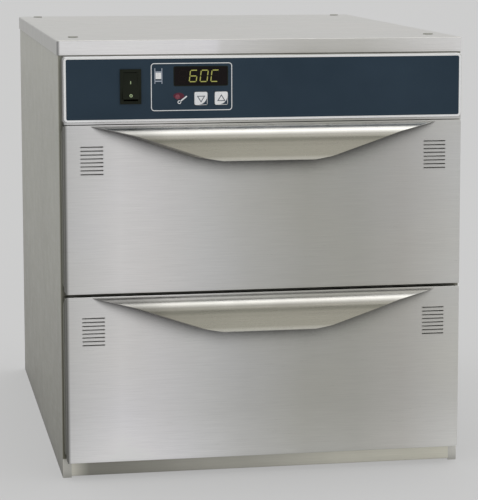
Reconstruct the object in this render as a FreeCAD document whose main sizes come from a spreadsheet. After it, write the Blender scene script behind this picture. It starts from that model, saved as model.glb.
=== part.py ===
import FreeCAD, Part
import os
import Sketcher
from FreeCAD import Placement, Rotation, Vector

# Countertop warming drawer: a stainless cabinet with two heated drawers, each holding one food pan.
# Frame: +Z up, front towards -Y, +X to the right of someone facing the front.
# The origin is the middle of the footprint, on the counter.

doc = FreeCAD.newDocument("WarmingDrawer")

# ---------------------------------------------------------------- driving sizes

DRIVING = {
    # cabinet
    "skin": 1.2,
    "fold_radius": 0.95,
    "lid_skirt": 15.0,
    "lid_gap": 1.0,
    "side_flange": 9.0,
    "bend_radius": 1.5,
    "base_height": 20.0,
    "rail_lift": 1.5,
    "rail_return": 8.0,
    "base_wall": 14.0,
    "base_edge_radius": 0.6,
    "leg_inset_x": 42.5,
    "leg_inset_y": 38.8,
    "leg_hole_radius": 5.1,
    "nut_height": 8.0,
    "nut_radius": 9.8,
    "plug_inset_x": 22.0,
    "plug_inset_front": 58.0,
    "plug_inset_rear": 24.0,
    "plug_hole_radius": 4.0,
    "plug_head_radius": 5.2,
    "plug_head_height": 1.0,
    "plug_stem_height": 5.0,
    # drawer fronts
    "drawer_head": 11.5,
    "drawer_gap": 5.0,
    "front_inset": 4.4,
    "front_proud": 17.0,
    "opening_margin": 6.0,
    "opening_radius": 5.0,
    "vent_inset": 28.6,
    "vent_drop": 21.0,
    "slot_width": 23.5,
    "slot_height": 1.4,
    "slot_pitch": 4.0,
    "slot_count": 8.0,
    "gasket_thickness": 2.9,
    "gasket_overhang": 1.3,
    "gasket_lap": 1.2,
    "gasket_radius": 6.0,
    "seal_clearance": 0.3,
    "inner_sheet": 1.0,
    "vent_to_blanket": 9.75,
    # handle
    "handle_proud": 24.0,
    "handle_height": 35.5,
    "handle_sheet": 1.5,
    "handle_shoulder": 13.0,
    "handle_shoulder_drop": 1.5,
    "handle_shoulder_radius": 14.0,
    "handle_knee_drop": 14.0,
    "handle_knee_radius": 12.0,
    "handle_heel_half": 78.0,
    "handle_heel_rise": 3.2,
    "handle_heel_run": 18.0,
    "handle_heel_radius": 40.0,
    "handle_side_slope": 0.3375,
    "handle_tip_run": 31.0,
    "handle_tip_drop": 8.0,
    # dampers
    "damper_sheet": 1.0,
    "damper_width": 27.0,
    "damper_border": 4.0,
    "damper_tab": 6.0,
    "damper_play": 0.2,
    "guide_width": 1.8,
    "guide_lip_sheet": 0.6,
    "guide_lip_reach": 0.9,
    # liner, insulation and heat
    "liner_sheet": 0.8,
    "cavity_clearance": 4.8,
    "floor_margin": 4.0,
    "headroom": 2.0,
    "side_blanket": 11.3,
    "back_space": 18.4,
    "air_gap": 4.0,
    "cable_radius": 1.6,
    "cable_pitch": 40.0,
    "cable_margin": 40.0,
    "probe_radius": 2.4,
    "probe_length": 65.0,
    "probe_tail": 6.0,
    "thermostat_radius": 8.5,
    "thermostat_height": 7.0,
    "top_blanket": 12.0,
    # slides
    "slide_height": 45.0,
    "slide_width": 12.7,
    "slide_rear_gap": 30.0,
    "slide_setback": 8.0,
    "slide_sheet": 1.2,
    "slide_play": 0.4,
    "slide_lip": 10.0,
    # pan and its carrier
    "pan_length": 530.0,
    "pan_width": 325.0,
    "pan_depth": 150.0,
    "pan_rim": 12.5,
    "pan_sheet": 0.8,
    "pan_radius": 45.0,
    "pan_foot_radius": 18.0,
    "pan_floor_gap": 10.0,
    "pan_draft": 2.5,
    "carrier_sheet": 1.2,
    "carrier_lip": 20.0,
    "carrier_margin": 1.5,
    "carrier_ledge": 18.8,
    "carrier_rear_land": 2.0,
    # control panel
    "panel_gap": 3.0,
    "panel_height": 67.5,
    "panel_radius": 3.0,
    "overlay_sheet": 0.5,
    "overlay_margin": 0.8,
    "overlay_foot": 2.0,
    "window_inset": 140.7,
    "window_z": 47.0,
    "window_width": 55.4,
    "window_height": 19.6,
    "window_sheet": 1.6,
    "window_play": 0.1,
    "display_inset": 1.0,
    "display_depth": 8.0,
    "board_sheet": 1.6,
    "board_left": 22.0,
    "board_right": 6.0,
    "board_low": 12.0,
    "board_high": 9.0,
    "post_radius": 2.0,
    "post_inset": 3.0,
    "switch_height": 3.5,
    "switch_half": 3.0,
    "button_size": 13.5,
    "button_z": 24.0,
    "down_inset": 140.7,
    "up_inset": 161.7,
    "button_proud": 0.8,
    "button_travel": 0.6,
    "button_play": 0.3,
    "button_tail": 1.0,
    "button_stem_radius": 1.8,
    "button_gap": 0.1,
    "lamp_inset": 116.5,
    "lamp_z": 26.0,
    "lamp_radius": 2.6,
    "lamp_play": 0.1,
    "lamp_proud": 0.6,
    "rocker_inset": 68.6,
    "rocker_z": 37.0,
    "rocker_frame_width": 21.6,
    "rocker_frame_height": 35.4,
    "rocker_width": 13.8,
    "rocker_half": 13.4,
    "rocker_play": 0.4,
    "rocker_end_play": 1.2,
    "rocker_tilt": 8.0,
    "rocker_crest": 5.9,
    "rocker_waist": 4.1,
    "rocker_foot": 1.5,
    "rocker_belly": 2.5,
    "rocker_belly_half": 4.0,
    "rocker_pivot_depth": 2.5,
    "rocker_frame_proud": 1.5,
    "rocker_frame_lap": 1.5,
    "rocker_wall": 2.0,
    "rocker_housing_play": 0.2,
    "rocker_housing_depth": 20.0,
    "rocker_well_depth": 11.0,
    "blade_width": 6.3,
    "blade_sheet": 0.8,
    "blade_length": 8.0,
    "blade_pitch": 9.0,
    "trunnion_radius": 1.5,
    "trunnion_play": 0.06,
    "trunnion_reach": 1.5,
    "trunnion_end_play": 0.2,
    # power electronics
    "bay_board_length": 150.0,
    "bay_board_width": 110.0,
    "bay_post_height": 6.0,
    "bay_post_radius": 2.5,
    "bay_post_inset": 5.0,
    "relay_size": 30.0,
    "relay_height": 22.0,
    "relay_inset": 16.0,
    "terminal_length": 70.0,
    "terminal_width": 15.0,
    "terminal_height": 14.0,
    "terminal_inset": 12.0,
    "core_x": -80.0,
    "core_length": 60.0,
    "core_width": 50.0,
    "core_height": 38.0,
    "winding_length": 36.0,
    "winding_width": 74.0,
    "winding_lift": 8.0,
    "winding_height": 22.0,
    # back
    "inlet_inset": 62.5,
    "inlet_z": 40.0,
    "inlet_flange": 3.0,
    "inlet_width": 50.0,
    "inlet_height": 23.0,
    "inlet_lap": 1.5,
    "inlet_body_width": 28.0,
    "inlet_body_depth": 20.0,
    "inlet_play": 0.2,
    "recess_width": 24.0,
    "recess_height": 16.0,
    "recess_depth": 16.0,
    "pin_width": 2.0,
    "pin_height": 4.0,
    "pin_length": 13.0,
    "pin_spacing": 7.0,
    "pin_rise": 1.5,
    "pin_drop": 2.0,
    "louvre_x": -30.0,
    "louvre_step": 90.0,
    "louvre_width": 60.0,
    "louvre_height": 3.0,
    "louvre_pitch": 9.0,
    "louvre_count": 4.0,
    "screw_radius": 1.6,
    "screw_head_radius": 3.6,
    "screw_head": 1.8,
    "screw_length": 5.0,
}

sheet = doc.addObject("Spreadsheet::Sheet", "Sizes")
for row, (alias, number) in enumerate(DRIVING.items(), start=1):
    sheet.set(f"A{row}", alias)
    sheet.set(f"B{row}", str(number))
    sheet.setAlias(f"B{row}", alias)
doc.recompute()


class Size(float):
    """A length in mm that also carries the sheet expression it comes from."""

    def __new__(cls, value, text):
        size = super().__new__(cls, value)
        size.text = text
        return size

    def __add__(self, other):
        return joined(self, "+", other, float(self) + float(other))

    def __radd__(self, other):
        return joined(other, "+", self, float(other) + float(self))

    def __sub__(self, other):
        return joined(self, "-", other, float(self) - float(other))

    def __rsub__(self, other):
        return joined(other, "-", self, float(other) - float(self))

    def __mul__(self, other):
        return joined(self, "*", other, float(self) * float(other))

    def __rmul__(self, other):
        return joined(other, "*", self, float(other) * float(self))

    def __truediv__(self, other):
        return joined(self, "/", other, float(self) / float(other))

    def __neg__(self):
        return Size(-float(self), f"(0 - {self.text})")


def expression(value):
    return value.text if isinstance(value, Size) else repr(float(value))


def joined(left, sign, right, value):
    return Size(value, f"({expression(left)} {sign} {expression(right)})")


size = {alias: Size(number, f"Sizes.{alias}") for alias, number in DRIVING.items()}


def bind(target, prop, value):
    """Sets one property from the sheet, or as a plain number if it depends on no driving size."""
    if isinstance(value, Size):
        target.setExpression(prop, value.text)
    else:
        target.setExpression(prop, repr(float(value)))


# ---------------------------------------------------------------- shape helpers

SUBPARTS = {}


def keep(node, made):
    """Registers a finished sub-part under its node name."""
    made.Label = node
    SUBPARTS[node] = made
    return made


def scratch_name(base):
    return f"{base}_{len(doc.Objects)}"


def block(x, y, z):
    """A box between (low, high) pairs along the three axes."""
    box = doc.addObject("Part::Box", scratch_name("Block"))
    for prop, span in (("Length", x), ("Width", y), ("Height", z)):
        bind(box, prop, span[1] - span[0])
    for axis, span in (("x", x), ("y", y), ("z", z)):
        bind(box, f"Placement.Base.{axis}", span[0])
    return box


TURN_TO = {
    "x": Rotation(Vector(0, 1, 0), 90),
    "y": Rotation(Vector(1, 0, 0), -90),
    "z": Rotation(),
}


def rod(axis, start, radius, length):
    """A cylinder from a start point along +x, +y or +z."""
    bar = doc.addObject("Part::Cylinder", scratch_name("Rod"))
    bind(bar, "Radius", radius)
    bind(bar, "Height", length)
    bar.Placement = Placement(Vector(), TURN_TO[axis])
    for name, value in zip("xyz", start):
        bind(bar, f"Placement.Base.{name}", value)
    return bar


def fused(parts):
    if len(parts) == 1:
        return parts[0]
    whole = doc.addObject("Part::MultiFuse", scratch_name("Fuse"))
    whole.Shapes = parts
    return whole


def cut(base, tools):
    left = doc.addObject("Part::Cut", scratch_name("Cut"))
    left.Base = base
    left.Tool = fused(tools)
    return left


def shared(first, second):
    overlap = doc.addObject("Part::Common", scratch_name("Common"))
    overlap.Base = first
    overlap.Tool = second
    return overlap


def group(parts):
    """Separate solids that share one node."""
    together = doc.addObject("Part::Compound", scratch_name("Group"))
    together.Links = parts
    return together


def mirrored(source):
    """The same piece on the other side of the middle plane."""
    other = doc.addObject("Part::Mirroring", scratch_name("Mirror"))
    other.Source = source
    other.Base = Vector()
    other.Normal = Vector(1, 0, 0)
    return other


def new_body(name, place):
    body = doc.addObject("PartDesign::Body", name)
    for axis, value in zip("xyz", place):
        bind(body, f"Placement.Base.{axis}", value)
    return body


def origin_feature(body, role):
    for feature in body.Origin.OriginFeatures:
        if feature.Role == role:
            return feature
    raise ValueError(role)


def outline(body, plane, loops):
    """A sketch of closed polygons, every corner held at its own distances from the body's origin."""
    sketch = body.newObject("Sketcher::SketchObject", scratch_name("Sketch"))
    sketch.AttachmentSupport = (origin_feature(body, plane), "")
    sketch.MapMode = "FlatFace"
    for corners in loops:
        first = sketch.GeometryCount
        count = len(corners)
        for index, corner in enumerate(corners):
            after = corners[(index + 1) % count]
            line = Part.LineSegment(Vector(*corner, 0), Vector(*after, 0))
            sketch.addGeometry(line, False)
        for index, corner in enumerate(corners):
            here = first + index
            following = first + (index + 1) % count
            sketch.addConstraint(Sketcher.Constraint("Coincident", here, 2, following, 1))
            for kind, value in (("DistanceX", corner[0]), ("DistanceY", corner[1])):
                held = sketch.addConstraint(Sketcher.Constraint(kind, here, 1, float(value)))
                bind(sketch, f"Constraints[{held}]", value)
    return sketch


def rectangle(u, v):
    return [(u[0], v[0]), (u[1], v[0]), (u[1], v[1]), (u[0], v[1])]


def pad(body, sketch, length, reverse=False, taper=None):
    feature = body.newObject("PartDesign::Pad", scratch_name("Pad"))
    feature.Profile = sketch
    feature.Reversed = reverse
    bind(feature, "Length", length)
    if taper is not None:
        bind(feature, "TaperAngle", taper)
    doc.recompute()
    return feature


def pocket(body, sketch, length, reverse=False, taper=None):
    before = body.Shape.Volume
    feature = body.newObject("PartDesign::Pocket", scratch_name("Pocket"))
    feature.Profile = sketch
    feature.Reversed = reverse
    bind(feature, "Length", length)
    if taper is not None:
        bind(feature, "TaperAngle", taper)
    doc.recompute()
    if body.Shape.Volume >= before:
        raise RuntimeError(f"{feature.Name} cuts nothing")
    return feature


def rounded(body, radius, chosen):
    """Fillets the edges of the body's tip that the test picks, in the body's own frame."""
    tip = body.Tip
    names = [f"Edge{i}" for i, edge in enumerate(tip.Shape.Edges, start=1) if chosen(edge)]
    feature = body.newObject("PartDesign::Fillet", scratch_name("Fillet"))
    feature.Base = (tip, names)
    bind(feature, "Radius", radius)
    doc.recompute()
    return feature


def repeated(body, feature, direction, step, count):
    pattern = body.newObject("PartDesign::LinearPattern", scratch_name("Pattern"))
    pattern.Originals = [feature]
    pattern.Direction = direction
    bind(pattern, "Length", step * (count - 1))
    bind(pattern, "Occurrences", count)
    body.Tip = pattern
    doc.recompute()
    return pattern


def middle(edge):
    return edge.valueAt((edge.FirstParameter + edge.LastParameter) / 2)


def near(value, target):
    return abs(value - target) < 0.01


def tangent(edge):
    return edge.tangentAt((edge.FirstParameter + edge.LastParameter) / 2)


def formed_tray(name, plane, u, v, rim, depth, sheet_thickness, corner, edge_radius, reverse=False):
    """Sheet metal pressed into a shallow tray. The rim lies in the plane, the face is depth away."""
    place = (0, rim, 0) if plane == "XZ_Plane" else (0, 0, rim)
    body = new_body(name, place)
    normal = Vector(0, 1, 0) if plane == "XZ_Plane" else Vector(0, 0, 1)
    pad(body, outline(body, plane, [rectangle(u, v)]), depth, reverse)
    rounded(body, corner, lambda edge: abs(tangent(edge).dot(normal)) > 0.99)
    inner_u = (u[0] + sheet_thickness, u[1] - sheet_thickness)
    inner_v = (v[0] + sheet_thickness, v[1] - sheet_thickness)
    pocket(body, outline(body, plane, [rectangle(inner_u, inner_v)]), depth - sheet_thickness, not reverse)
    sign = {"XY_Plane": 1, "XZ_Plane": -1}[plane] * (-1 if reverse else 1)
    rounded(body, edge_radius, lambda edge: near(middle(edge).dot(normal), sign * float(depth)))
    return body


# ---------------------------------------------------------------- shared places

drawer_height = size["pan_floor_gap"] + size["pan_depth"] + size["drawer_head"]
lower_z = size["base_height"]
upper_z = lower_z + drawer_height + size["drawer_gap"]
drawers_top = upper_z + drawer_height
panel_low = drawers_top + size["panel_gap"]
panel_high = panel_low + size["panel_height"]
lid_low = panel_high + size["lid_gap"]
case_top = lid_low + size["lid_skirt"]
under_lid = case_top - size["skin"]
cavity_floor = size["base_height"] + size["floor_margin"]
cavity_top = drawers_top - size["opening_margin"] + size["headroom"]
shelf_low = cavity_top + size["liner_sheet"] + size["top_blanket"]

pan_half = size["pan_width"] / 2
carrier_half = pan_half + size["carrier_ledge"]
liner_half = carrier_half + size["slide_width"]
inside_half = liner_half + size["liner_sheet"] + size["air_gap"] + size["side_blanket"]
shell_half = inside_half + size["skin"]
case_half = shell_half + size["skin"]
front_half = case_half - size["front_inset"]
frame_half = shell_half - size["side_flange"]
vent_centre = front_half - size["vent_inset"]
blanket_half = vent_centre - size["slot_width"] / 2 - size["vent_to_blanket"]

carrier_depth = size["carrier_sheet"] + size["pan_length"] + size["carrier_rear_land"]
cavity_depth = carrier_depth + size["cavity_clearance"]
case_depth = cavity_depth + size["back_space"] + size["skin"] * 3
overall_depth = (size["handle_proud"] + size["front_proud"] + case_depth
                 - size["skin"] * 2 + size["inlet_flange"])
face_y = size["handle_proud"] - overall_depth / 2
case_y = face_y + size["front_proud"]
lid_front = case_y - size["skin"]
lid_rear = lid_front + case_depth
back_y = lid_rear - size["skin"]
back_inside = back_y - size["skin"]
middle_y = (case_y + back_y) / 2
cavity_back = case_y + cavity_depth
pan_front = case_y + size["carrier_sheet"]
seal_y = case_y - size["seal_clearance"]
inner_rear = seal_y - size["gasket_thickness"]
inner_front = inner_rear - size["inner_sheet"]
window_x = size["window_inset"] - front_half
down_x = size["down_inset"] - front_half
up_x = size["up_inset"] - front_half
lamp_x = size["lamp_inset"] - front_half
rocker_x = size["rocker_inset"] - front_half
inlet_x = case_half - size["inlet_inset"]
inlet_level = panel_low + size["inlet_z"]
slide_front = case_y + size["slide_setback"]
slide_rear = cavity_back - size["slide_rear_gap"]

handle_heel_drop = size["handle_height"] - size["handle_heel_rise"]
handle_bottom_half = size["handle_heel_half"] - size["handle_heel_run"]
handle_bend_half = (size["handle_heel_half"]
                    + (handle_heel_drop - size["handle_tip_drop"]) / size["handle_side_slope"])
handle_top_half = handle_bend_half + size["handle_tip_run"]

screw_places = [(side * (shell_half - size["side_flange"] / 2), height)
                for side in (-1, 1)
                for height in (under_lid / 8, under_lid / 2, under_lid * 7 / 8)]

# ---------------------------------------------------------------- cabinet shell


def plug_places():
    x = case_half - size["plug_inset_x"]
    front = lid_front + size["plug_inset_front"]
    rear = lid_rear - size["plug_inset_rear"]
    return [(-x, front), (x, front), (-x, rear), (x, rear)]


def make_lid():
    lid = formed_tray("Lid", "XY_Plane", (-case_half, case_half), (lid_front, lid_rear), lid_low,
                      size["lid_skirt"], size["skin"], size["bend_radius"], size["bend_radius"])
    holes = [rod("z", (x, y, lid_low), size["plug_hole_radius"], size["lid_skirt"] * 2)
             for x, y in plug_places()]
    keep("top_lid", cut(lid, holes))
    plugs = []
    for x, y in plug_places():
        head = rod("z", (x, y, case_top), size["plug_head_radius"], size["plug_head_height"])
        stem = rod("z", (x, y, case_top - size["plug_stem_height"]), size["plug_hole_radius"],
                   size["plug_stem_height"])
        plugs.append(fused([head, stem]))
    keep("hole_plugs", group(plugs))


def make_side_panel():
    """A tall sheet with its front and rear edges turned inwards."""
    outer = -shell_half
    inner = -inside_half
    lip = -frame_half
    front, rear = case_y, back_inside
    body = new_body("SidePanel", (0, 0, 0))
    corners = [(outer, front), (lip, front), (lip, front + size["skin"]), (inner, front + size["skin"]),
               (inner, rear - size["skin"]), (lip, rear - size["skin"]), (lip, rear), (outer, rear)]
    pad(body, outline(body, "XY_Plane", [corners]), under_lid)
    rounded(body, size["fold_radius"],
            lambda edge: near(middle(edge).x, float(outer)) and abs(tangent(edge).z) > 0.99)
    holes = [rod("y", (x, rear - size["screw_length"], z), size["screw_radius"], size["screw_length"] * 2)
             for x, z in screw_places if x < 0]
    left = keep("left_side_panel", cut(body, holes))
    keep("right_side_panel", mirrored(left))


def make_back_panel():
    body = new_body("BackPanel", (0, back_y, 0))
    span = (-shell_half, shell_half)
    pad(body, outline(body, "XZ_Plane", [rectangle(span, (0, under_lid))]), size["skin"])
    opening = rectangle((inlet_x - inlet_body_half_x, inlet_x + inlet_body_half_x),
                        (inlet_level - inlet_body_half_z, inlet_level + inlet_body_half_z))
    pocket(body, outline(body, "XZ_Plane", [opening]), size["skin"], True)
    low = panel_low + size["louvre_pitch"] * 2
    half = size["louvre_width"] / 2
    centres = [size["louvre_x"] + size["louvre_step"] * place for place in (-1, 0, 1)]
    row = [rectangle((x - half, x + half), (low, low + size["louvre_height"])) for x in centres]
    first = pocket(body, outline(body, "XZ_Plane", row), size["skin"], True)
    repeated(body, first, (origin_feature(body, "Z_Axis"), [""]), size["louvre_pitch"], size["louvre_count"])
    holes = [rod("y", (x, back_y - size["screw_length"], z), size["screw_radius"], size["screw_length"] * 2)
             for x, z in screw_places]
    keep("back_panel", cut(body, holes))


def make_case_screws():
    screws = []
    for x, z in screw_places:
        shank = rod("y", (x, back_y - size["screw_length"], z), size["screw_radius"], size["screw_length"])
        head = rod("y", (x, back_y, z), size["screw_head_radius"], size["screw_head"])
        screws.append(fused([shank, head]))
    keep("case_screws", group(screws))


def leg_places():
    reach_x = case_half - size["leg_inset_x"]
    reach_y = (back_y - case_y) / 2 - size["leg_inset_y"]
    return [(x, middle_y + y) for x in (-reach_x, reach_x) for y in (-reach_y, reach_y)]


def make_base():
    front = case_y + size["rail_return"]
    pan = formed_tray("BasePan", "XY_Plane", (-inside_half, inside_half), (front, back_inside - size["skin"]),
                      size["base_wall"], size["base_wall"], size["skin"], size["bend_radius"],
                      size["base_edge_radius"], True)
    holes = [rod("z", (x, y, -size["skin"]), size["leg_hole_radius"], size["skin"] * 3)
             for x, y in leg_places()]
    keep("base_pan", cut(pan, holes))
    nuts = []
    for x, y in leg_places():
        hexagon = doc.addObject("Part::Prism", scratch_name("Hex"))
        hexagon.Polygon = 6
        bind(hexagon, "Circumradius", size["nut_radius"])
        bind(hexagon, "Height", size["nut_height"])
        for axis, value in zip("xyz", (x, y, size["skin"])):
            bind(hexagon, f"Placement.Base.{axis}", value)
        bore = rod("z", (x, y, 0), size["leg_hole_radius"], size["nut_height"] * 2)
        nuts.append(cut(hexagon, [bore]))
    keep("leg_nuts", group(nuts))


def make_base_rail():
    """The strip below the lower drawer, turned back along its top and bottom edges."""
    low, high = size["rail_lift"], size["base_height"]
    front = case_y
    rear = front + size["rail_return"]
    wall = size["skin"]
    body = new_body("BaseRail", (-frame_half, 0, 0))
    corners = [(front, low), (rear, low), (rear, low + wall), (front + wall, low + wall),
               (front + wall, high - wall), (rear, high - wall), (rear, high), (front, high)]
    pad(body, outline(body, "YZ_Plane", [corners]), frame_half * 2)
    rounded(body, size["fold_radius"],
            lambda edge: near(middle(edge).y, float(front)) and abs(tangent(edge).x) > 0.99)
    keep("front_base_rail", body)


def make_front_frame():
    """The plate that the gaskets close on, with two drawer openings and one behind the controls."""
    body = new_body("FrontFrame", (0, case_y + size["skin"], 0))
    whole = rectangle((-frame_half, frame_half), (size["base_height"], under_lid))
    pad(body, outline(body, "XZ_Plane", [whole]), size["skin"])
    margin = size["opening_margin"]
    across = (-liner_half, liner_half)
    openings = [rectangle(across, (low + margin, low + drawer_height - margin))
                for low in (lower_z, upper_z)]
    openings.append(rectangle(across, (shelf_low + size["skin"] * 3, panel_high - margin)))
    pocket(body, outline(body, "XZ_Plane", openings), size["skin"], True)
    rounded(body, size["opening_radius"],
            lambda edge: abs(tangent(edge).y) > 0.99 and near(abs(middle(edge).x), float(liner_half)))
    keep("front_frame", body)


# ---------------------------------------------------------------- liner, insulation, heat


def make_liner():
    wall = size["liner_sheet"]
    half = liner_half
    floor, top = cavity_floor, cavity_top
    front = case_y + size["skin"]
    left = keep("liner_left", block((-half - wall, -half), (front, cavity_back), (floor, top)))
    keep("liner_right", mirrored(left))
    across = (-half - wall, half + wall)
    keep("liner_top", block(across, (front, cavity_back), (top, top + wall)))
    keep("liner_bottom", block(across, (front, cavity_back), (floor - wall, floor)))
    plate = block(across, (cavity_back, cavity_back + wall), (floor - wall, top + wall))
    keep("liner_back", cut(plate, [probe_hole(size["trunnion_play"])]))


def probe_place():
    """The front tip of the temperature probe, just below the cavity's ceiling."""
    return (liner_half / 2, cavity_back - size["probe_length"],
            cavity_top - size["probe_radius"] - size["seal_clearance"])


def probe_hole(play):
    reach = size["probe_length"] + size["probe_tail"] + play
    return rod("y", probe_place(), size["probe_radius"] + play, reach)


def make_probe():
    tube = rod("y", probe_place(), size["probe_radius"], size["probe_length"] + size["probe_tail"])
    keep("temperature_probe", tube)


def make_insulation():
    wall = size["liner_sheet"]
    side_inner = liner_half + wall + size["air_gap"]
    front = case_y + size["rail_return"]
    rear = cavity_back + wall
    base_top = size["base_wall"]
    left = block((-inside_half, -side_inner), (front, rear), (base_top, shelf_low))
    keep("side_insulation", group([left, mirrored(left)]))
    core = (-side_inner, side_inner)
    top = block(core, (front, rear), (cavity_top + wall, shelf_low))
    thermostat_hole = rod("z", (*thermostat_place(), cavity_top),
                          size["thermostat_radius"] + size["seal_clearance"], size["top_blanket"] * 2)
    keep("top_insulation", cut(top, [thermostat_hole]))
    keep("bottom_insulation", block(core, (front, rear), (base_top, cavity_floor - wall)))
    back = block((-inside_half, inside_half), (rear, back_y - size["screw_length"] - size["seal_clearance"]),
                 (base_top, shelf_low))
    keep("back_insulation", cut(back, [probe_hole(size["seal_clearance"])]))


def thermostat_place():
    return (-liner_half / 3, (case_y + cavity_back) / 2)


def make_thermostat():
    x, y = thermostat_place()
    low = cavity_top + size["liner_sheet"]
    disc = rod("z", (x, y, low), size["thermostat_radius"], size["thermostat_height"])
    cap = rod("z", (x, y, low + size["thermostat_height"]), size["thermostat_radius"] / 2,
              size["thermostat_height"] / 2)
    keep("high_limit_thermostat", fused([disc, cap]))


def make_heating_cable():
    """One cable on each side of the liner, in level runs joined by half turns."""
    radius = size["cable_radius"]
    turn = size["cable_pitch"] / 2
    x = -(liner_half + size["liner_sheet"] + size["damper_play"] + radius)
    front = case_y + size["cable_margin"] + turn
    rear = cavity_back - size["cable_margin"] - turn
    low = cavity_floor + size["cable_margin"]
    runs = int((float(cavity_top) - float(low)) // float(size["cable_pitch"]))
    pieces = []
    for index in range(runs):
        z = low + size["cable_pitch"] * index
        pieces.append(rod("y", (x, front, z), radius, rear - front))
        if index == runs - 1:
            continue
        bend = doc.addObject("Part::Torus", scratch_name("Bend"))
        bind(bend, "Radius1", turn)
        bind(bend, "Radius2", radius)
        bend.Angle3 = 180
        at_rear = index % 2 == 0
        along = 1 if at_rear else -1
        turned = Rotation(Vector(0, 0, -along), Vector(0, along, 0), Vector(1, 0, 0))
        bend.Placement = Placement(Vector(), turned)
        for axis, value in zip("xyz", (x, rear if at_rear else front, z + turn)):
            bind(bend, f"Placement.Base.{axis}", value)
        pieces.append(bend)
    left = fused(pieces)
    keep("heating_cables", group([left, mirrored(left)]))


# ---------------------------------------------------------------- slides


def channel(name, x_web, x_lip, z, thickness):
    """A C-channel along Y: the web at x_web, both lips reaching to x_lip."""
    low, high = z
    inward = 1 if float(x_lip) > float(x_web) else -1
    web_inner = x_web + thickness * inward
    body = new_body(name, (0, slide_rear, 0))
    corners = [(x_web, low), (x_lip, low), (x_lip, low + thickness), (web_inner, low + thickness),
               (web_inner, high - thickness), (x_lip, high - thickness), (x_lip, high), (x_web, high)]
    pad(body, outline(body, "XZ_Plane", [corners]), slide_rear - slide_front)
    return body


def slide_levels(bottom):
    """Heights of the slide on a drawer whose front starts at bottom."""
    high = carrier_low(bottom)
    return high - size["slide_height"], high


def carrier_low(bottom):
    """Underside of the carrier's deck, which the pan's rim hangs on."""
    return bottom + size["pan_floor_gap"] + size["pan_depth"] - size["pan_sheet"] - size["carrier_sheet"]


def make_slides():
    wall, play = size["slide_sheet"], size["slide_play"]
    outer = -liner_half
    drawer_side = outer + size["slide_width"]
    fixed = []
    for level, bottom in (("lower", lower_z), ("upper", upper_z)):
        low, high = slide_levels(bottom)
        rail = channel(f"{level}Rail", outer, outer + size["slide_lip"] + wall, (low, high), wall)
        fixed += [rail, mirrored(rail)]
        step = wall + play
        middle_web = outer + step
        centre = channel(f"{level}Middle", middle_web, middle_web + size["slide_lip"],
                         (low + step, high - step), wall)
        keep(f"{level}_slide_middles", group([centre, mirrored(centre)]))
        runner = channel(f"{level}Runner", drawer_side, middle_web + step, (low + step * 2, high - step * 2),
                         wall)
        keep(f"{level}_slide_runners", group([runner, mirrored(runner)]))
    keep("slide_rails", group(fixed))


# ---------------------------------------------------------------- drawers


def slot_rows(top):
    """Heights of the highest and the lowest vent slot's middle."""
    highest = top - size["vent_drop"]
    lowest = highest - size["slot_pitch"] * (size["slot_count"] - 1)
    return highest, lowest


def slot_loop(centre_x, z):
    half = size["slot_width"] / 2
    return rectangle((centre_x - half, centre_x + half),
                     (z - size["slot_height"] / 2, z + size["slot_height"] / 2))


def make_drawer_front(level, bottom):
    top = bottom + drawer_height
    depth = inner_rear - face_y
    body = formed_tray(f"{level}Front", "XZ_Plane", (-front_half, front_half), (bottom, top), inner_rear,
                       depth, size["skin"], size["bend_radius"], size["bend_radius"])
    lowest = slot_rows(top)[1]
    loops = [slot_loop(centre, lowest) for centre in (-vent_centre, vent_centre)]
    first = pocket(body, outline(body, "XZ_Plane", loops), depth * 2, True)
    repeated(body, first, (origin_feature(body, "Z_Axis"), [""]), size["slot_pitch"], size["slot_count"])
    keep(f"{level}_drawer_front", body)


def make_inner_panel(level, bottom):
    """Closes the back of the drawer front and guides the two dampers."""
    top = bottom + drawer_height
    inset = size["skin"]
    body = new_body(f"{level}Inner", (0, inner_rear, 0))
    whole = rectangle((-front_half + inset, front_half - inset), (bottom + inset, top - inset))
    pad(body, outline(body, "XZ_Plane", [whole]), size["inner_sheet"])
    highest, lowest = slot_rows(top)
    half = size["slot_width"] / 2 + size["damper_play"]
    edge = size["slot_height"] / 2 + size["damper_play"]
    windows = [rectangle((centre - half, centre + half), (lowest - edge, highest + edge))
               for centre in (-vent_centre, vent_centre)]
    pocket(body, outline(body, "XZ_Plane", windows), size["inner_sheet"], True)
    low, high = damper_span(top)
    groove = inner_rear + size["damper_sheet"] + size["damper_play"] * 2
    inside = size["damper_width"] / 2 + size["damper_play"]
    outside = inside + size["guide_width"]
    covered = inside - size["guide_lip_reach"]
    guides = []
    for centre in (-vent_centre, vent_centre):
        for near_edge, far_edge, lip_edge in ((-inside, -outside, -covered), (inside, outside, covered)):
            post = sorted((centre + near_edge, centre + far_edge))
            lip = sorted((centre + lip_edge, centre + far_edge))
            guides.append(block(post, (inner_rear, groove), (low, high)))
            guides.append(block(lip, (groove, groove + size["guide_lip_sheet"]), (low, high)))
    keep(f"{level}_drawer_inner_panel", fused([body] + guides))


def damper_span(top):
    highest, lowest = slot_rows(top)
    border = size["slot_height"] / 2 + size["damper_border"]
    return lowest - border, highest + border


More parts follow.
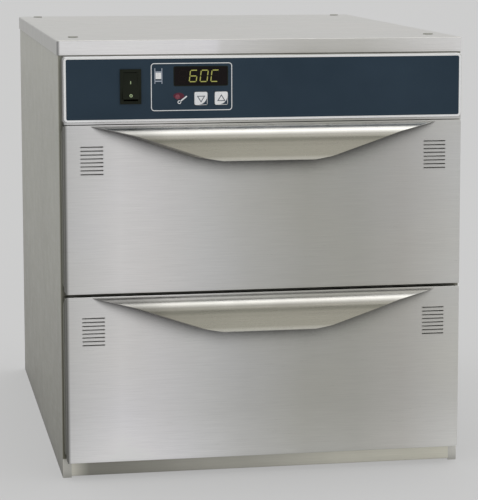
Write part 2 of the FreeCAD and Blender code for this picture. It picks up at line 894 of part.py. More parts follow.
def make_damper(level, bottom):
    """A slotted plate that covers the vent slots when it is lifted by half a pitch."""
    top = bottom + drawer_height
    low, high = damper_span(top)
    rear = inner_rear + size["damper_play"] + size["damper_sheet"]
    body = new_body(f"{level}Damper", (0, rear, 0))
    centre = -vent_centre
    half = size["damper_width"] / 2
    pad(body, outline(body, "XZ_Plane", [rectangle((centre - half, centre + half), (low, high))]),
        size["damper_sheet"])
    lowest = slot_rows(top)[1]
    first = pocket(body, outline(body, "XZ_Plane", [slot_loop(centre, lowest)]), size["damper_sheet"], True)
    repeated(body, first, (origin_feature(body, "Z_Axis"), [""]), size["slot_pitch"], size["slot_count"])
    tab = block((centre - size["damper_tab"], centre + size["damper_tab"]),
                (rear, rear + size["damper_tab"]), (low, low + size["damper_sheet"]))
    left = keep(f"{level}_left_damper", fused([body, tab]))
    keep(f"{level}_right_damper", mirrored(left))


def make_drawer_insulation(level, bottom):
    inset = size["skin"] * 2
    half = blanket_half
    keep(f"{level}_front_insulation",
         block((-half, half), (face_y + size["skin"], inner_front),
               (bottom + inset, bottom + drawer_height - inset)))


def make_gasket(level, bottom):
    over = size["gasket_overhang"]
    top = bottom + drawer_height
    body = new_body(f"{level}Gasket", (0, seal_y, 0))
    outer = rectangle((-front_half - over, front_half + over), (bottom - over, top + over))
    pad(body, outline(body, "XZ_Plane", [outer]), size["gasket_thickness"])
    rounded(body, size["gasket_radius"], lambda edge: abs(tangent(edge).y) > 0.99)
    half = liner_half + size["gasket_lap"]
    margin = size["opening_margin"] - size["gasket_lap"]
    inner = rectangle((-half, half), (bottom + margin, top - margin))
    pocket(body, outline(body, "XZ_Plane", [inner]), size["gasket_thickness"], True)
    keep(f"{level}_drawer_gasket", body)


def handle_profile(inset, below):
    """Side section of the handle as (y, z) from the drawer's top edge: a curl outwards, then a flat grip."""
    front = -size["handle_proud"] + inset
    floor = -size["handle_height"] - below
    return [(below, -inset), (-size["handle_shoulder"], -size["handle_shoulder_drop"] - inset),
            (front, -size["handle_knee_drop"] - inset / 2), (front, floor), (below, floor)]


def handle_front(inset, below):
    """Front outline of the handle as (x, z): wide along the drawer's top, narrow at the grip."""
    grip = handle_bottom_half - inset
    height = size["handle_height"]
    end = handle_top_half - inset * 5
    right = [(grip, -height - below), (grip, -height),
             (size["handle_heel_half"] - inset, -handle_heel_drop),
             (handle_bend_half - inset * 3, -size["handle_tip_drop"]), (end, 0), (end, below)]
    return right + [(-x, z) for x, z in reversed(right)]


def handle_solid(name, place, inset, below):
    """The handle's form as the overlap of its side section and its front outline."""
    half = handle_top_half
    side = new_body(f"{name}Side", (-half, place[1], place[2]))
    pad(side, outline(side, "YZ_Plane", [handle_profile(inset, below[0])]), half * 2)

    def along_x(height):
        return lambda edge: abs(tangent(edge).x) > 0.99 and near(middle(edge).z, float(height))

    rounded(side, size["handle_shoulder_radius"] - inset, along_x(-size["handle_shoulder_drop"] - inset))
    rounded(side, size["handle_knee_radius"] - inset, along_x(-size["handle_knee_drop"] - inset / 2))
    front = new_body(f"{name}Front", (place[0], place[1] + size["handle_proud"], place[2]))
    pad(front, outline(front, "XZ_Plane", [handle_front(inset, below[1])]), size["handle_proud"] * 3)
    heel = -float(handle_heel_drop)
    rounded(front, size["handle_heel_radius"],
            lambda edge: abs(tangent(edge).y) > 0.99 and near(middle(edge).z, heel))
    return shared(side, front)


def make_handle(level, bottom):
    place = (0, face_y, bottom + drawer_height)
    wall = size["handle_sheet"]
    outer = handle_solid(f"{level}HandleOuter", place, 0, (0, wall))
    inner = handle_solid(f"{level}HandleInner", place, wall, (wall * 2, wall * 3))
    keep(f"{level}_drawer_handle", cut(outer, [inner]))


def make_carrier(level, bottom):
    """The deck that the pan hangs in, folded down along both sides to carry the slide runners."""
    wall, margin = size["carrier_sheet"], size["carrier_margin"]
    low = carrier_low(bottom)
    half = carrier_half
    rear = case_y + carrier_depth
    deck = block((-half, half), (inner_rear, rear), (low, low + wall))
    hole_half = pan_half - size["pan_rim"] + margin
    hole_front = pan_front + size["pan_rim"] - margin
    hole_rear = pan_front + size["pan_length"] - size["pan_rim"] + margin
    hole = block((-hole_half, hole_half), (hole_front, hole_rear), (low - wall, low + wall * 2))
    plate = cut(deck, [hole])
    slide_low = low - size["slide_height"]
    lip_low = low - size["carrier_lip"]
    left = block((-half, -half + wall), (slide_front, rear), (slide_low, low))
    right = block((half - wall, half), (slide_front, rear), (slide_low, low))
    front_lip = block((-blanket_half, blanket_half), (inner_rear, inner_rear + wall), (lip_low, low))
    rear_lip = block((-half + wall, half - wall), (rear - wall, rear), (lip_low, low))
    keep(f"{level}_pan_carrier", fused([plate, left, right, front_lip, rear_lip]))


def pan_bowl(name, rim_top, inset):
    """The pan's sloping bowl as a solid that hangs from the rim's top plane."""
    body = new_body(name, (0, 0, rim_top))
    half = pan_half
    rear = pan_front + size["pan_length"]
    step = size["pan_rim"] + inset
    bowl = rectangle((-half + step, half - step), (pan_front + step, rear - step))
    depth = size["pan_depth"] - inset
    pad(body, outline(body, "XY_Plane", [bowl]), depth, True, size["pan_draft"])

    def upright(edge):
        return abs(tangent(edge).z) > 0.9

    rounded(body, size["pan_radius"] - inset, upright)
    rounded(body, size["pan_foot_radius"] - inset, lambda edge: near(middle(edge).z, -float(depth)))
    return body


def make_pan(level, bottom):
    """A full-size food pan whose flat rim rests on the carrier."""
    wall = size["pan_sheet"]
    rim_top = carrier_low(bottom) + size["carrier_sheet"] + wall
    rim = new_body(f"{level}PanRim", (0, 0, rim_top))
    edge = rectangle((-pan_half, pan_half), (pan_front, pan_front + size["pan_length"]))
    pad(rim, outline(rim, "XY_Plane", [edge]), wall, True)
    rounded(rim, size["pan_radius"] + size["pan_rim"], lambda edge: abs(tangent(edge).z) > 0.99)
    solid = fused([rim, pan_bowl(f"{level}Pan", rim_top, 0)])
    keep(f"{level}_food_pan", cut(solid, [pan_bowl(f"{level}PanHollow", rim_top, wall)]))


# ---------------------------------------------------------------- controls

panel_inside = face_y + size["skin"]
overlay_front = face_y - size["overlay_sheet"]
board_front = panel_inside + size["display_depth"] + size["seal_clearance"]
switch_front = board_front - size["switch_height"]
window_span = (window_x - size["window_width"] / 2, window_x + size["window_width"] / 2)
window_rise = (panel_low + size["window_z"] - size["window_height"] / 2,
               panel_low + size["window_z"] + size["window_height"] / 2)
button_level = panel_low + size["button_z"]
rocker_level = panel_low + size["rocker_z"]
rocker_pivot_y = overlay_front + size["rocker_pivot_depth"]
housing_half_x = size["rocker_width"] / 2 + size["rocker_play"] + size["rocker_wall"]
housing_half_z = size["rocker_frame_height"] / 2 - size["rocker_frame_lap"]
inlet_body_half_x = size["inlet_body_width"] / 2
inlet_body_half_z = size["inlet_height"] / 2 - size["inlet_lap"]


def centred(x, z, half_x, half_z):
    return rectangle((x - half_x, x + half_x), (z - half_z, z + half_z))


def centred_block(x, y, z, half_x, half_z):
    """A box given by its middle in x and z, and by its (front, rear) pair in y."""
    return block((x - half_x, x + half_x), y, (z - half_z, z + half_z))


def panel_openings():
    """Cut-outs that the panel and its overlay share, all in the panel's plane."""
    half = size["button_size"] / 2 + size["button_play"]
    return [
        rectangle(window_span, window_rise),
        centred(down_x, button_level, half, half),
        centred(up_x, button_level, half, half),
        centred(rocker_x, rocker_level, housing_half_x, housing_half_z),
    ]


def lamp_rod(radius, front, length):
    return rod("y", (lamp_x, front, panel_low + size["lamp_z"]), radius, length)


def lamp_hole():
    return lamp_rod(size["lamp_radius"] + size["lamp_play"], face_y - size["front_proud"],
                    size["front_proud"] * 2)


def make_panel():
    body = formed_tray("ControlPanel", "XZ_Plane", (-front_half, front_half), (panel_low, panel_high), case_y,
                       size["front_proud"], size["skin"], size["panel_radius"], size["bend_radius"])
    pocket(body, outline(body, "XZ_Plane", panel_openings()), size["front_proud"] * 2, True)
    keep("control_panel", cut(body, [lamp_hole()]))

    film = new_body("Overlay", (0, face_y, 0))
    half = front_half - size["bend_radius"]
    rise = (panel_low + size["overlay_foot"], panel_high - size["overlay_margin"])
    pad(film, outline(film, "XZ_Plane", [rectangle((-half, half), rise)]), size["overlay_sheet"])
    rounded(film, size["panel_radius"], lambda edge: abs(tangent(edge).y) > 0.99)
    pocket(film, outline(film, "XZ_Plane", panel_openings()), size["overlay_sheet"] * 2, True)
    keep("panel_overlay", cut(film, [lamp_hole()]))


def make_display():
    play = size["window_play"]
    x = (window_span[0] + play, window_span[1] - play)
    z = (window_rise[0] + play, window_rise[1] - play)
    window_rear = overlay_front + size["window_sheet"]
    keep("display_window", block(x, (overlay_front, window_rear), z))
    inset = size["display_inset"]
    keep("display_module", block((x[0] + inset, x[1] - inset), (window_rear, board_front),
                                 (z[0] + inset, z[1] - inset)))


def make_indicator():
    front = overlay_front - size["lamp_proud"]
    keep("indicator_lamp", lamp_rod(size["lamp_radius"], front, board_front - front))


def make_control_board():
    """The circuit board behind the display, held off the panel on four posts."""
    x = (window_span[0] - size["board_left"], window_span[1] + size["board_right"])
    z = (panel_low + size["board_low"], panel_high - size["board_high"])
    plate = block(x, (board_front, board_front + size["board_sheet"]), z)
    inset = size["post_inset"]
    posts = [rod("y", (post_x, panel_inside, post_z), size["post_radius"], board_front - panel_inside)
             for post_x in (x[0] + inset, x[1] - inset) for post_z in (z[0] + inset, z[1] - inset)]
    half = size["switch_half"]
    switches = [centred_block(switch_x, (switch_front, board_front), button_level, half, half)
                for switch_x in (down_x, up_x)]
    keep("control_board", fused([plate] + posts + switches))


def make_buttons():
    """Two square keys that push small switches on the board."""
    half = size["button_size"] / 2
    front = overlay_front - size["button_proud"]
    cap_rear = panel_inside + size["button_tail"]
    stem_end = switch_front - size["button_travel"] - size["button_gap"]
    for node, x in (("down_button", down_x), ("up_button", up_x)):
        cap = centred_block(x, (front, cap_rear), button_level, half, half)
        stem = rod("y", (x, cap_rear, button_level), size["button_stem_radius"], stem_end - cap_rear)
        keep(node, fused([cap, stem]))


def make_rocker():
    """The mains switch: a framed housing and a rocker on two trunnions, tilted to its on side."""
    x, z = rocker_x, rocker_level
    frame_front = overlay_front - size["rocker_frame_proud"]
    housing_rear = overlay_front + size["rocker_housing_depth"]
    flange = centred_block(x, (frame_front, overlay_front), z,
                           size["rocker_frame_width"] / 2, size["rocker_frame_height"] / 2)
    inset = size["rocker_housing_play"]
    case = centred_block(x, (overlay_front, housing_rear), z, housing_half_x - inset, housing_half_z - inset)
    well = centred_block(x, (frame_front - size["rocker_wall"], overlay_front + size["rocker_well_depth"]), z,
                         size["rocker_width"] / 2 + size["rocker_play"],
                         size["rocker_half"] + size["rocker_end_play"])
    pin_half = size["rocker_width"] / 2 + size["trunnion_reach"]
    bore_half = pin_half + size["trunnion_end_play"]
    bore = rod("x", (x - bore_half, rocker_pivot_y, z), size["trunnion_radius"] + size["trunnion_play"],
               bore_half * 2)
    blades = [centred_block(x, (housing_rear, housing_rear + size["blade_length"]),
                            z + size["blade_pitch"] * place, size["blade_width"] / 2, size["blade_sheet"] / 2)
              for place in (-1, 0, 1)]
    keep("rocker_housing", fused([cut(fused([flange, case]), [well, bore])] + blades))

    half = size["rocker_half"]
    crest, foot = -size["rocker_crest"], -size["rocker_foot"]
    belly, belly_half = size["rocker_belly"], size["rocker_belly_half"]
    body = new_body("Rocker", (x - size["rocker_width"] / 2, rocker_pivot_y, z))
    section = [(crest, -half), (-size["rocker_waist"], 0), (crest, half), (foot, half),
               (belly, belly_half), (belly, -belly_half), (foot, -half)]
    pad(body, outline(body, "YZ_Plane", [section]), size["rocker_width"])
    body.Placement = Placement(body.Placement.Base, Rotation(Vector(1, 0, 0), -float(size["rocker_tilt"])))
    bind(body, "Placement.Rotation.Angle", -size["rocker_tilt"])
    trunnion = rod("x", (x - pin_half, rocker_pivot_y, z), size["trunnion_radius"], pin_half * 2)
    keep("power_rocker", fused([body, trunnion]))


def make_power_board(deck):
    """A board on four posts behind the display, with a relay and a row of terminals."""
    x = (0, size["bay_board_length"])
    y = (middle_y, middle_y + size["bay_board_width"])
    low = deck + size["bay_post_height"]
    top = low + size["board_sheet"]
    plate = block(x, y, (low, top))
    inset = size["bay_post_inset"]
    posts = [rod("z", (post_x, post_y, deck), size["bay_post_radius"], size["bay_post_height"])
             for post_x in (x[0] + inset, x[1] - inset) for post_y in (y[0] + inset, y[1] - inset)]
    relay_x, relay_y = x[0] + size["relay_inset"], y[0] + size["relay_inset"]
    relay = block((relay_x, relay_x + size["relay_size"]), (relay_y, relay_y + size["relay_size"]),
                  (top, top + size["relay_height"]))
    strip_x, strip_y = x[1] - size["terminal_inset"], y[1] - size["terminal_inset"]
    terminals = block((strip_x - size["terminal_length"], strip_x),
                      (strip_y - size["terminal_width"], strip_y), (top, top + size["terminal_height"]))
    keep("power_board", fused([plate, relay, terminals] + posts))


def make_transformer(deck):
    x, y = size["core_x"], middle_y + size["core_width"]

    def coil(length, width, low, height):
        return block((x - length / 2, x + length / 2), (y - width / 2, y + width / 2), (low, low + height))

    core = coil(size["core_length"], size["core_width"], deck, size["core_height"])
    winding = coil(size["winding_length"], size["winding_width"], deck + size["winding_lift"],
                   size["winding_height"])
    keep("transformer", fused([core, winding]))


def make_controls_bay():
    """The shelf over the insulation and the power electronics that stand on it."""
    deck = shelf_low + size["skin"]
    keep("controls_shelf", block((-inside_half, inside_half),
                                 (case_y + size["skin"], back_inside - size["skin"]), (shelf_low, deck)))
    make_power_board(deck)
    make_transformer(deck)


def make_inlet():
    """A recessed mains inlet for a detachable lead."""
    x, z = inlet_x, inlet_level
    rear = back_y + size["inlet_flange"]
    floor = rear - size["recess_depth"]
    play = size["inlet_play"]
    flange = centred_block(x, (back_y, rear), z, size["inlet_width"] / 2, size["inlet_height"] / 2)
    shell = centred_block(x, (back_y - size["inlet_body_depth"], back_y), z,
                          inlet_body_half_x - play, inlet_body_half_z - play)
    recess = centred_block(x, (floor, rear + size["inlet_flange"]), z,
                           size["recess_width"] / 2, size["recess_height"] / 2)
    pins = [centred_block(pin_x, (floor, floor + size["pin_length"]), pin_z,
                          size["pin_width"] / 2, size["pin_height"] / 2)
            for pin_x, pin_z in ((x - size["pin_spacing"], z + size["pin_rise"]), (x, z - size["pin_drop"]),
                                 (x + size["pin_spacing"], z + size["pin_rise"]))]
    keep("power_inlet", fused([cut(fused([flange, shell]), [recess])] + pins))


# ---------------------------------------------------------------- build and write

make_lid()
make_side_panel()
make_back_panel()
make_case_screws()
make_base()
make_base_rail()
make_front_frame()
make_liner()
make_probe()
make_insulation()
make_thermostat()
make_heating_cable()
make_slides()
for drawer, drawer_bottom in (("lower", lower_z), ("upper", upper_z)):
    make_drawer_front(drawer, drawer_bottom)
    make_inner_panel(drawer, drawer_bottom)
    make_damper(drawer, drawer_bottom)
    make_drawer_insulation(drawer, drawer_bottom)
    make_gasket(drawer, drawer_bottom)
    make_handle(drawer, drawer_bottom)
    make_carrier(drawer, drawer_bottom)
    make_pan(drawer, drawer_bottom)
make_panel()
make_display()
make_indicator()
make_control_board()
make_buttons()
make_rocker()
make_controls_bay()
make_inlet()
doc.recompute()

for item in doc.Objects:
    if "Invalid" in item.State or "Error" in item.State:
        raise RuntimeError(f"{item.Name} ({item.Label}) failed: {item.State}")
for node, part in SUBPARTS.items():
    if part.Shape.isNull() or not part.Shape.isValid() or not part.Shape.Solids:
        raise RuntimeError(f"{node} has no valid solid")

os.makedirs("parts", exist_ok=True)
for node, part in SUBPARTS.items():
    part.Shape.exportStep(os.path.join("parts", f"{node}.step"))
print(f"{len(SUBPARTS)} sub-parts written")
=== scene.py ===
import math

import bmesh
import bpy
from mathutils import Matrix, Vector


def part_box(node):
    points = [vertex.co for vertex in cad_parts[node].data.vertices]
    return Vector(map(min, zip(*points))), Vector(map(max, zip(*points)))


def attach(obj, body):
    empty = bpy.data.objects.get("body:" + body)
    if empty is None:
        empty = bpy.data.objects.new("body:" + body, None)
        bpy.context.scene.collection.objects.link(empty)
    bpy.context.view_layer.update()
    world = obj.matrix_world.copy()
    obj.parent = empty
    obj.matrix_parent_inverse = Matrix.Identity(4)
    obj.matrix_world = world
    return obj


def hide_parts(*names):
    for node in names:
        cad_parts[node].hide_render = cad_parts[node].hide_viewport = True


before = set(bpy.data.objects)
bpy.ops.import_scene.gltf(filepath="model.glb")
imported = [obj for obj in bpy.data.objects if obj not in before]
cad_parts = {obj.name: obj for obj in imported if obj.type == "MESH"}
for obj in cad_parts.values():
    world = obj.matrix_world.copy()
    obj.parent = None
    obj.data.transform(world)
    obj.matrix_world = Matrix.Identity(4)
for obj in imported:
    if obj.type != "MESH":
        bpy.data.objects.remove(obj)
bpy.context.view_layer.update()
mm = 0.001
levels = ("lower", "upper")


# small tools

def newObject(name, mesh):
    piece = bpy.data.objects.new(name, mesh)
    bpy.context.scene.collection.objects.link(piece)
    return piece


def meshFrom(name, points, faces, smooth=True):
    mesh = bpy.data.meshes.new(name)
    mesh.from_pydata([tuple(p) for p in points], [], faces)
    for polygon in mesh.polygons:
        polygon.use_smooth = smooth
    mesh.update()
    return mesh


def settle(piece, body, material):
    # turns live modifiers into a plain mesh, then hangs the piece on its body
    if piece.modifiers:
        graph = bpy.context.evaluated_depsgraph_get()
        done = bpy.data.meshes.new_from_object(piece.evaluated_get(graph))
        piece.modifiers.clear()
        piece.data = done
    piece.data.materials.clear()
    piece.data.materials.append(material)
    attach(piece, body)
    return piece


def sharpEdges(piece, degrees=35):
    for polygon in piece.data.polygons:
        polygon.use_smooth = True
    piece.data.set_sharp_from_angle(angle=math.radians(degrees))
    return piece


def roundedLoop(low, high, radius, steps=6):
    # points of a rounded rectangle in a plane, counter-clockwise from the lower right corner
    points = []
    corners = ((high[0] - radius, low[1] + radius, -90), (high[0] - radius, high[1] - radius, 0),
               (low[0] + radius, high[1] - radius, 90), (low[0] + radius, low[1] + radius, 180))
    for cx, cy, start in corners:
        for k in range(steps + 1):
            angle = math.radians(start + 90 * k / steps)
            points.append((cx + radius * math.cos(angle), cy + radius * math.sin(angle)))
    return points


def loft(name, rings, closeEnds=(False, False), closeRings=False):
    # skins a list of equally long point rings
    count = len(rings[0])
    points = [p for ring in rings for p in ring]
    faces = []
    last = len(rings) if closeRings else len(rings) - 1
    for row in range(last):
        near, far = row * count, (row + 1) % len(rings) * count
        for k in range(count):
            after = (k + 1) % count
            faces.append((near + k, near + after, far + after, far + k))
    if closeEnds[0]:
        faces.append(tuple(reversed(range(count))))
    if closeEnds[1]:
        faces.append(tuple(range((len(rings) - 1) * count, len(rings) * count)))
    mesh = meshFrom(name, points, faces)
    tidyNormals(mesh)
    return mesh


def tidyNormals(mesh):
    work = bmesh.new()
    work.from_mesh(mesh)
    bmesh.ops.remove_doubles(work, verts=work.verts, dist=1e-7)
    bmesh.ops.recalc_face_normals(work, faces=work.faces)
    work.to_mesh(mesh)
    work.free()


def slab(name, loops, depths):
    # a flat outline pushed through y: loops are (x, z) lists, depths their y, one ring for each
    return loft(name, [[(x, y, z) for x, z in loop] for loop, y in zip(loops, depths)], (True, True))


def joinedMesh(name, meshes):
    work = bmesh.new()
    for mesh in meshes:
        work.from_mesh(mesh)
    whole = bpy.data.meshes.new(name)
    work.to_mesh(whole)
    work.free()
    return whole


# node tools, for materials and for geometry

def feed(tree, socket, value):
    # a socket takes another node's output or a plain value, and a colour gets its alpha
    if isinstance(value, bpy.types.Node):
        value = value.outputs[0]
    if isinstance(value, bpy.types.NodeSocket):
        tree.links.new(value, socket)
    else:
        socket.default_value = (*value, 1) if socket.type == "RGBA" else value


def give(tree, node, **named):
    # sets sockets by label, with _ for a space
    for label, value in named.items():
        feed(tree, node.inputs[label.replace("_", " ")], value)


def step(tree, kind, *values, mode=None, **named):
    # adds a node: values go to its first sockets in turn, named ones by label
    node = tree.nodes.new(kind)
    if mode:
        node.mode = mode
    for socket, value in zip(node.inputs, values):
        feed(tree, socket, value)
    give(tree, node, **named)
    return node


def reckon(tree, operation, *values):
    node = step(tree, "ShaderNodeMath", *values)
    node.operation = operation
    return node


def times(tree, first, second):
    return reckon(tree, "MULTIPLY", first, second)


def vectorOf(tree, x=0.0, y=0.0, z=0.0):
    return step(tree, "ShaderNodeCombineXYZ", x, y, z)


def parted(tree, vector):
    return step(tree, "ShaderNodeSeparateXYZ", vector).outputs


# shader tools

def emptyMaterial(name):
    material = bpy.data.materials.new(name)
    material.use_nodes = True
    tree = material.node_tree
    return material, tree, tree.nodes["Principled BSDF"]


def ownSpace(tree):
    return step(tree, "ShaderNodeTexCoord").outputs["Object"]


def grainAt(tree, stretch, detail, roughness, turn=(0.0, 0.0, 0.0)):
    # noise in the piece's own space; stretch is how often it changes along each axis, per metre
    mapping = step(tree, "ShaderNodeMapping", ownSpace(tree), Scale=stretch, Rotation=turn)
    noise = step(tree, "ShaderNodeTexNoise", Vector=mapping, Scale=1.0, Detail=detail, Roughness=roughness)
    return noise.outputs["Fac"]


def rampOf(tree, factor, stops):
    # each stop is a place and a colour, or a place and one number for a grey
    ramp = step(tree, "ShaderNodeValToRGB", factor)
    elements = ramp.color_ramp.elements
    places = [place for place, _ in stops]
    colours = [(*(colour if isinstance(colour, tuple) else (colour,) * 3), 1) for _, colour in stops]
    elements[0].position, elements[0].color = places[0], colours[0]
    elements[1].position, elements[1].color = places[-1], colours[-1]
    for place, colour in zip(places[1:-1], colours[1:-1]):
        elements.new(place).color = colour
    return ramp.outputs["Color"]


def rangeOf(tree, factor, low, high, fromLow=0.0, fromHigh=1.0):
    return step(tree, "ShaderNodeMapRange", factor, fromLow, fromHigh, low, high).outputs["Result"]


def mixOf(tree, factor, first, second, mode="MIX"):
    node = tree.nodes.new("ShaderNodeMix")
    node.data_type, node.blend_type = "RGBA", mode
    for place, value in ((0, factor), (6, first), (7, second)):
        feed(tree, node.inputs[place], value)
    return node.outputs[2]


def bumpOf(tree, shader, height, strength, distance):
    bump = step(tree, "ShaderNodeBump", Strength=strength, Distance=distance, Height=height)
    give(tree, shader, Normal=bump)


def occlusionShadeOf(tree, distance, deepest, closed=0.45, free=0.97, toward=None):
    # painted shade: ambient occlusion darkens the metal's colour where another surface stands close in
    # front of it, or close on one side, where shade falls
    crease = step(tree, "ShaderNodeAmbientOcclusion", Distance=distance)
    crease.samples = 12
    if toward:
        surface = step(tree, "ShaderNodeNewGeometry").outputs["Normal"]
        give(tree, crease, Normal=step(tree, "ShaderNodeVectorMath", surface, toward))
    return rangeOf(tree, crease.outputs["AO"], deepest, 1.0, closed, free)


def alongOf(tree, axis):
    # an object axis, or one of the mesh's own attributes
    if axis in ("X", "Y", "Z"):
        return parted(tree, ownSpace(tree))[axis]
    own = step(tree, "ShaderNodeAttribute")
    own.attribute_name = axis
    return own.outputs["Fac"]


def belowOf(tree, limits):
    # 1 where both named axes are below their limits, each with its softness
    shares = [rangeOf(tree, alongOf(tree, axis), 1.0, 0.0, limit, limit + softness)
              for axis, limit, softness in limits]
    return times(tree, *shares)


def bandOf(tree, axis, start, end, stops):
    # a ramp laid between two places on an axis
    return rampOf(tree, rangeOf(tree, alongOf(tree, axis), 0.0, 1.0, start, end), stops)


def scaled(colour, factor):
    return tuple(c * factor for c in colour)


def srgb(red, green, blue):
    def straight(value):
        value /= 255
        return value / 12.92 if value <= 0.04045 else ((value + 0.055) / 1.055) ** 2.4
    return straight(red), straight(green), straight(blue)


# finishes

steelSettings = {
    "grainLength": 26.0,
    "grainFine": 1300.0,
    "cloud": 5.0,
    "smudge": 38.0,
    "streakLight": (0.91, 1.06),
    "metallic": 0.9,
    "brushing": 0.25,
    "bumpDepth": 0.0004,
}


def brushedSteel(name, colour, cloudColour, grain, roughness, fades=(), anisotropic=0.6, bump=0.05,
                 crease=(0.015, 0.6), paintedPatch=None):
    # rolled sheet, brushed along one axis, with faint clouds of tint and handling marks; bands and patches
    # of painted light and shade and a painted occlusion shade are laid into its colour
    material, tree, shader = emptyMaterial(name)
    fine, length = steelSettings["grainFine"], steelSettings["grainLength"]
    streaks = grainAt(tree, tuple(length if axis == grain else fine for axis in "xyz"), 6.0, 0.7)
    clouds = grainAt(tree, (steelSettings["cloud"],) * 3, 2.0, 0.5)
    smudges = grainAt(tree, (steelSettings["smudge"],) * 3, 3.0, 0.55)
    body = mixOf(tree, rangeOf(tree, clouds, 0.0, 1.0, 0.32, 0.68), colour, cloudColour)
    # painted light and shade: each band multiplies the colour along one axis
    for paintedBand in fades:
        body = mixOf(tree, 1.0, body, bandOf(tree, *paintedBand), "MULTIPLY")
    # painted light or shade: below its limits the patch swaps in a colour band of its own
    if paintedPatch:
        body = mixOf(tree, belowOf(tree, paintedPatch["below"]), body, bandOf(tree, *paintedPatch["band"]))
    # painted shade from the occlusion, multiplied into the colour
    body = mixOf(tree, 1.0, body, occlusionShadeOf(tree, *crease), "MULTIPLY")
    light = rangeOf(tree, streaks, *steelSettings["streakLight"], 0.25, 0.75)
    rough = reckon(tree, "ADD", rangeOf(tree, streaks, roughness - 0.06, roughness + 0.08, 0.3, 0.7),
                   rangeOf(tree, smudges, -0.02, 0.05, 0.35, 0.75))
    give(tree, shader, Base_Color=mixOf(tree, 1.0, body, light, "MULTIPLY"), Roughness=rough,
         Metallic=steelSettings["metallic"], Anisotropic=anisotropic,
         Anisotropic_Rotation=steelSettings["brushing"])
    bumpOf(tree, shader, streaks, bump, steelSettings["bumpDepth"])
    return material


metalSettings = {
    "spotShade": 0.82,
    "patchScale": 0.06,  # as a share of the spots' own
    "patchShade": 0.9,
    "patchShare": 0.35,
    "bumpDepth": 0.0002,
}


def plainMetal(name, colour, roughness, scale, bump=0.1):
    # mill, zinc or cast finish: small even mottling
    material, tree, shader = emptyMaterial(name)
    spots = grainAt(tree, (scale,) * 3, 5.0, 0.6)
    patches = grainAt(tree, (scale * metalSettings["patchScale"],) * 3, 2.0, 0.5)
    body = mixOf(tree, rangeOf(tree, spots, 0.0, 1.0, 0.35, 0.65),
                 scaled(colour, metalSettings["spotShade"]), colour)
    body = mixOf(tree, rangeOf(tree, patches, 0.0, metalSettings["patchShare"], 0.4, 0.7), body,
                 scaled(colour, metalSettings["patchShade"]))
    give(tree, shader, Base_Color=body, Metallic=1.0,
         Roughness=rangeOf(tree, spots, roughness - 0.05, roughness + 0.1))
    bumpOf(tree, shader, spots, bump, metalSettings["bumpDepth"])
    return material


plasticSettings = {
    "drift": 18.0,
    "driftGain": 1.12,
    "driftLift": 0.003,
    "coatRoughness": 0.12,
    "bumpDepth": 0.00015,
}


def plastic(name, colour, roughness, scale=900.0, bump=0.12, coat=0.0, gloss=0.5):
    # moulded or printed surface with a fine texture
    material, tree, shader = emptyMaterial(name)
    pebble = grainAt(tree, (scale,) * 3, 3.0, 0.55)
    drift = grainAt(tree, (plasticSettings["drift"],) * 3, 2.0, 0.5)
    gain, lift = plasticSettings["driftGain"], plasticSettings["driftLift"]
    lighter = tuple(min(1.0, c * gain + lift) for c in colour)
    give(tree, shader, Base_Color=mixOf(tree, rangeOf(tree, drift, 0.0, 1.0, 0.3, 0.7), colour, lighter),
         Roughness=rangeOf(tree, pebble, roughness - 0.05, roughness + 0.08), Specular_IOR_Level=gloss,
         Coat_Weight=coat, Coat_Roughness=plasticSettings["coatRoughness"])
    bumpOf(tree, shader, pebble, bump, plasticSettings["bumpDepth"])
    return material


woolSettings = {
    "strands": (60.0, 900.0, 500.0),
    "strandTurn": (0.4, 0.2, 0.7),
    "strandColour": (0.9, 0.86, 0.7),
    "strandShare": 0.6,
    "crossed": (800.0, 90.0, 400.0),
    "crossedTurn": (0.1, 0.5, 0.2),
    "crossedShade": 0.6,
    "bump": 0.8,
    "bumpDepth": 0.002,
}


def fibre(name, colour):
    # mineral wool: matted strands lying every way
    material, tree, shader = emptyMaterial(name)
    strands = grainAt(tree, woolSettings["strands"], 6.0, 0.7, woolSettings["strandTurn"])
    crossed = grainAt(tree, woolSettings["crossed"], 5.0, 0.7, woolSettings["crossedTurn"])
    mat = mixOf(tree, rangeOf(tree, crossed, 0.0, 1.0, 0.35, 0.65),
                scaled(colour, woolSettings["crossedShade"]), colour)
    share = rangeOf(tree, strands, 0.0, woolSettings["strandShare"], 0.4, 0.7)
    give(tree, shader, Roughness=0.95, Base_Color=mixOf(tree, share, mat, woolSettings["strandColour"]))
    bumpOf(tree, shader, strands, woolSettings["bump"], woolSettings["bumpDepth"])
    return material


glowSettings = {"drift": 2500.0, "driftShade": 0.8, "unlitShade": 0.4, "roughness": 0.4}


def glowing(name, colour, strength):
    material, tree, shader = emptyMaterial(name)
    drift = grainAt(tree, (glowSettings["drift"],) * 3, 2.0, 0.5)
    glow = mixOf(tree, rangeOf(tree, drift, 0.0, 1.0, 0.3, 0.7), scaled(colour, glowSettings["driftShade"]),
                 colour)
    give(tree, shader, Base_Color=scaled(colour, glowSettings["unlitShade"]), Emission_Color=glow,
         Emission_Strength=strength, Roughness=glowSettings["roughness"])
    return material
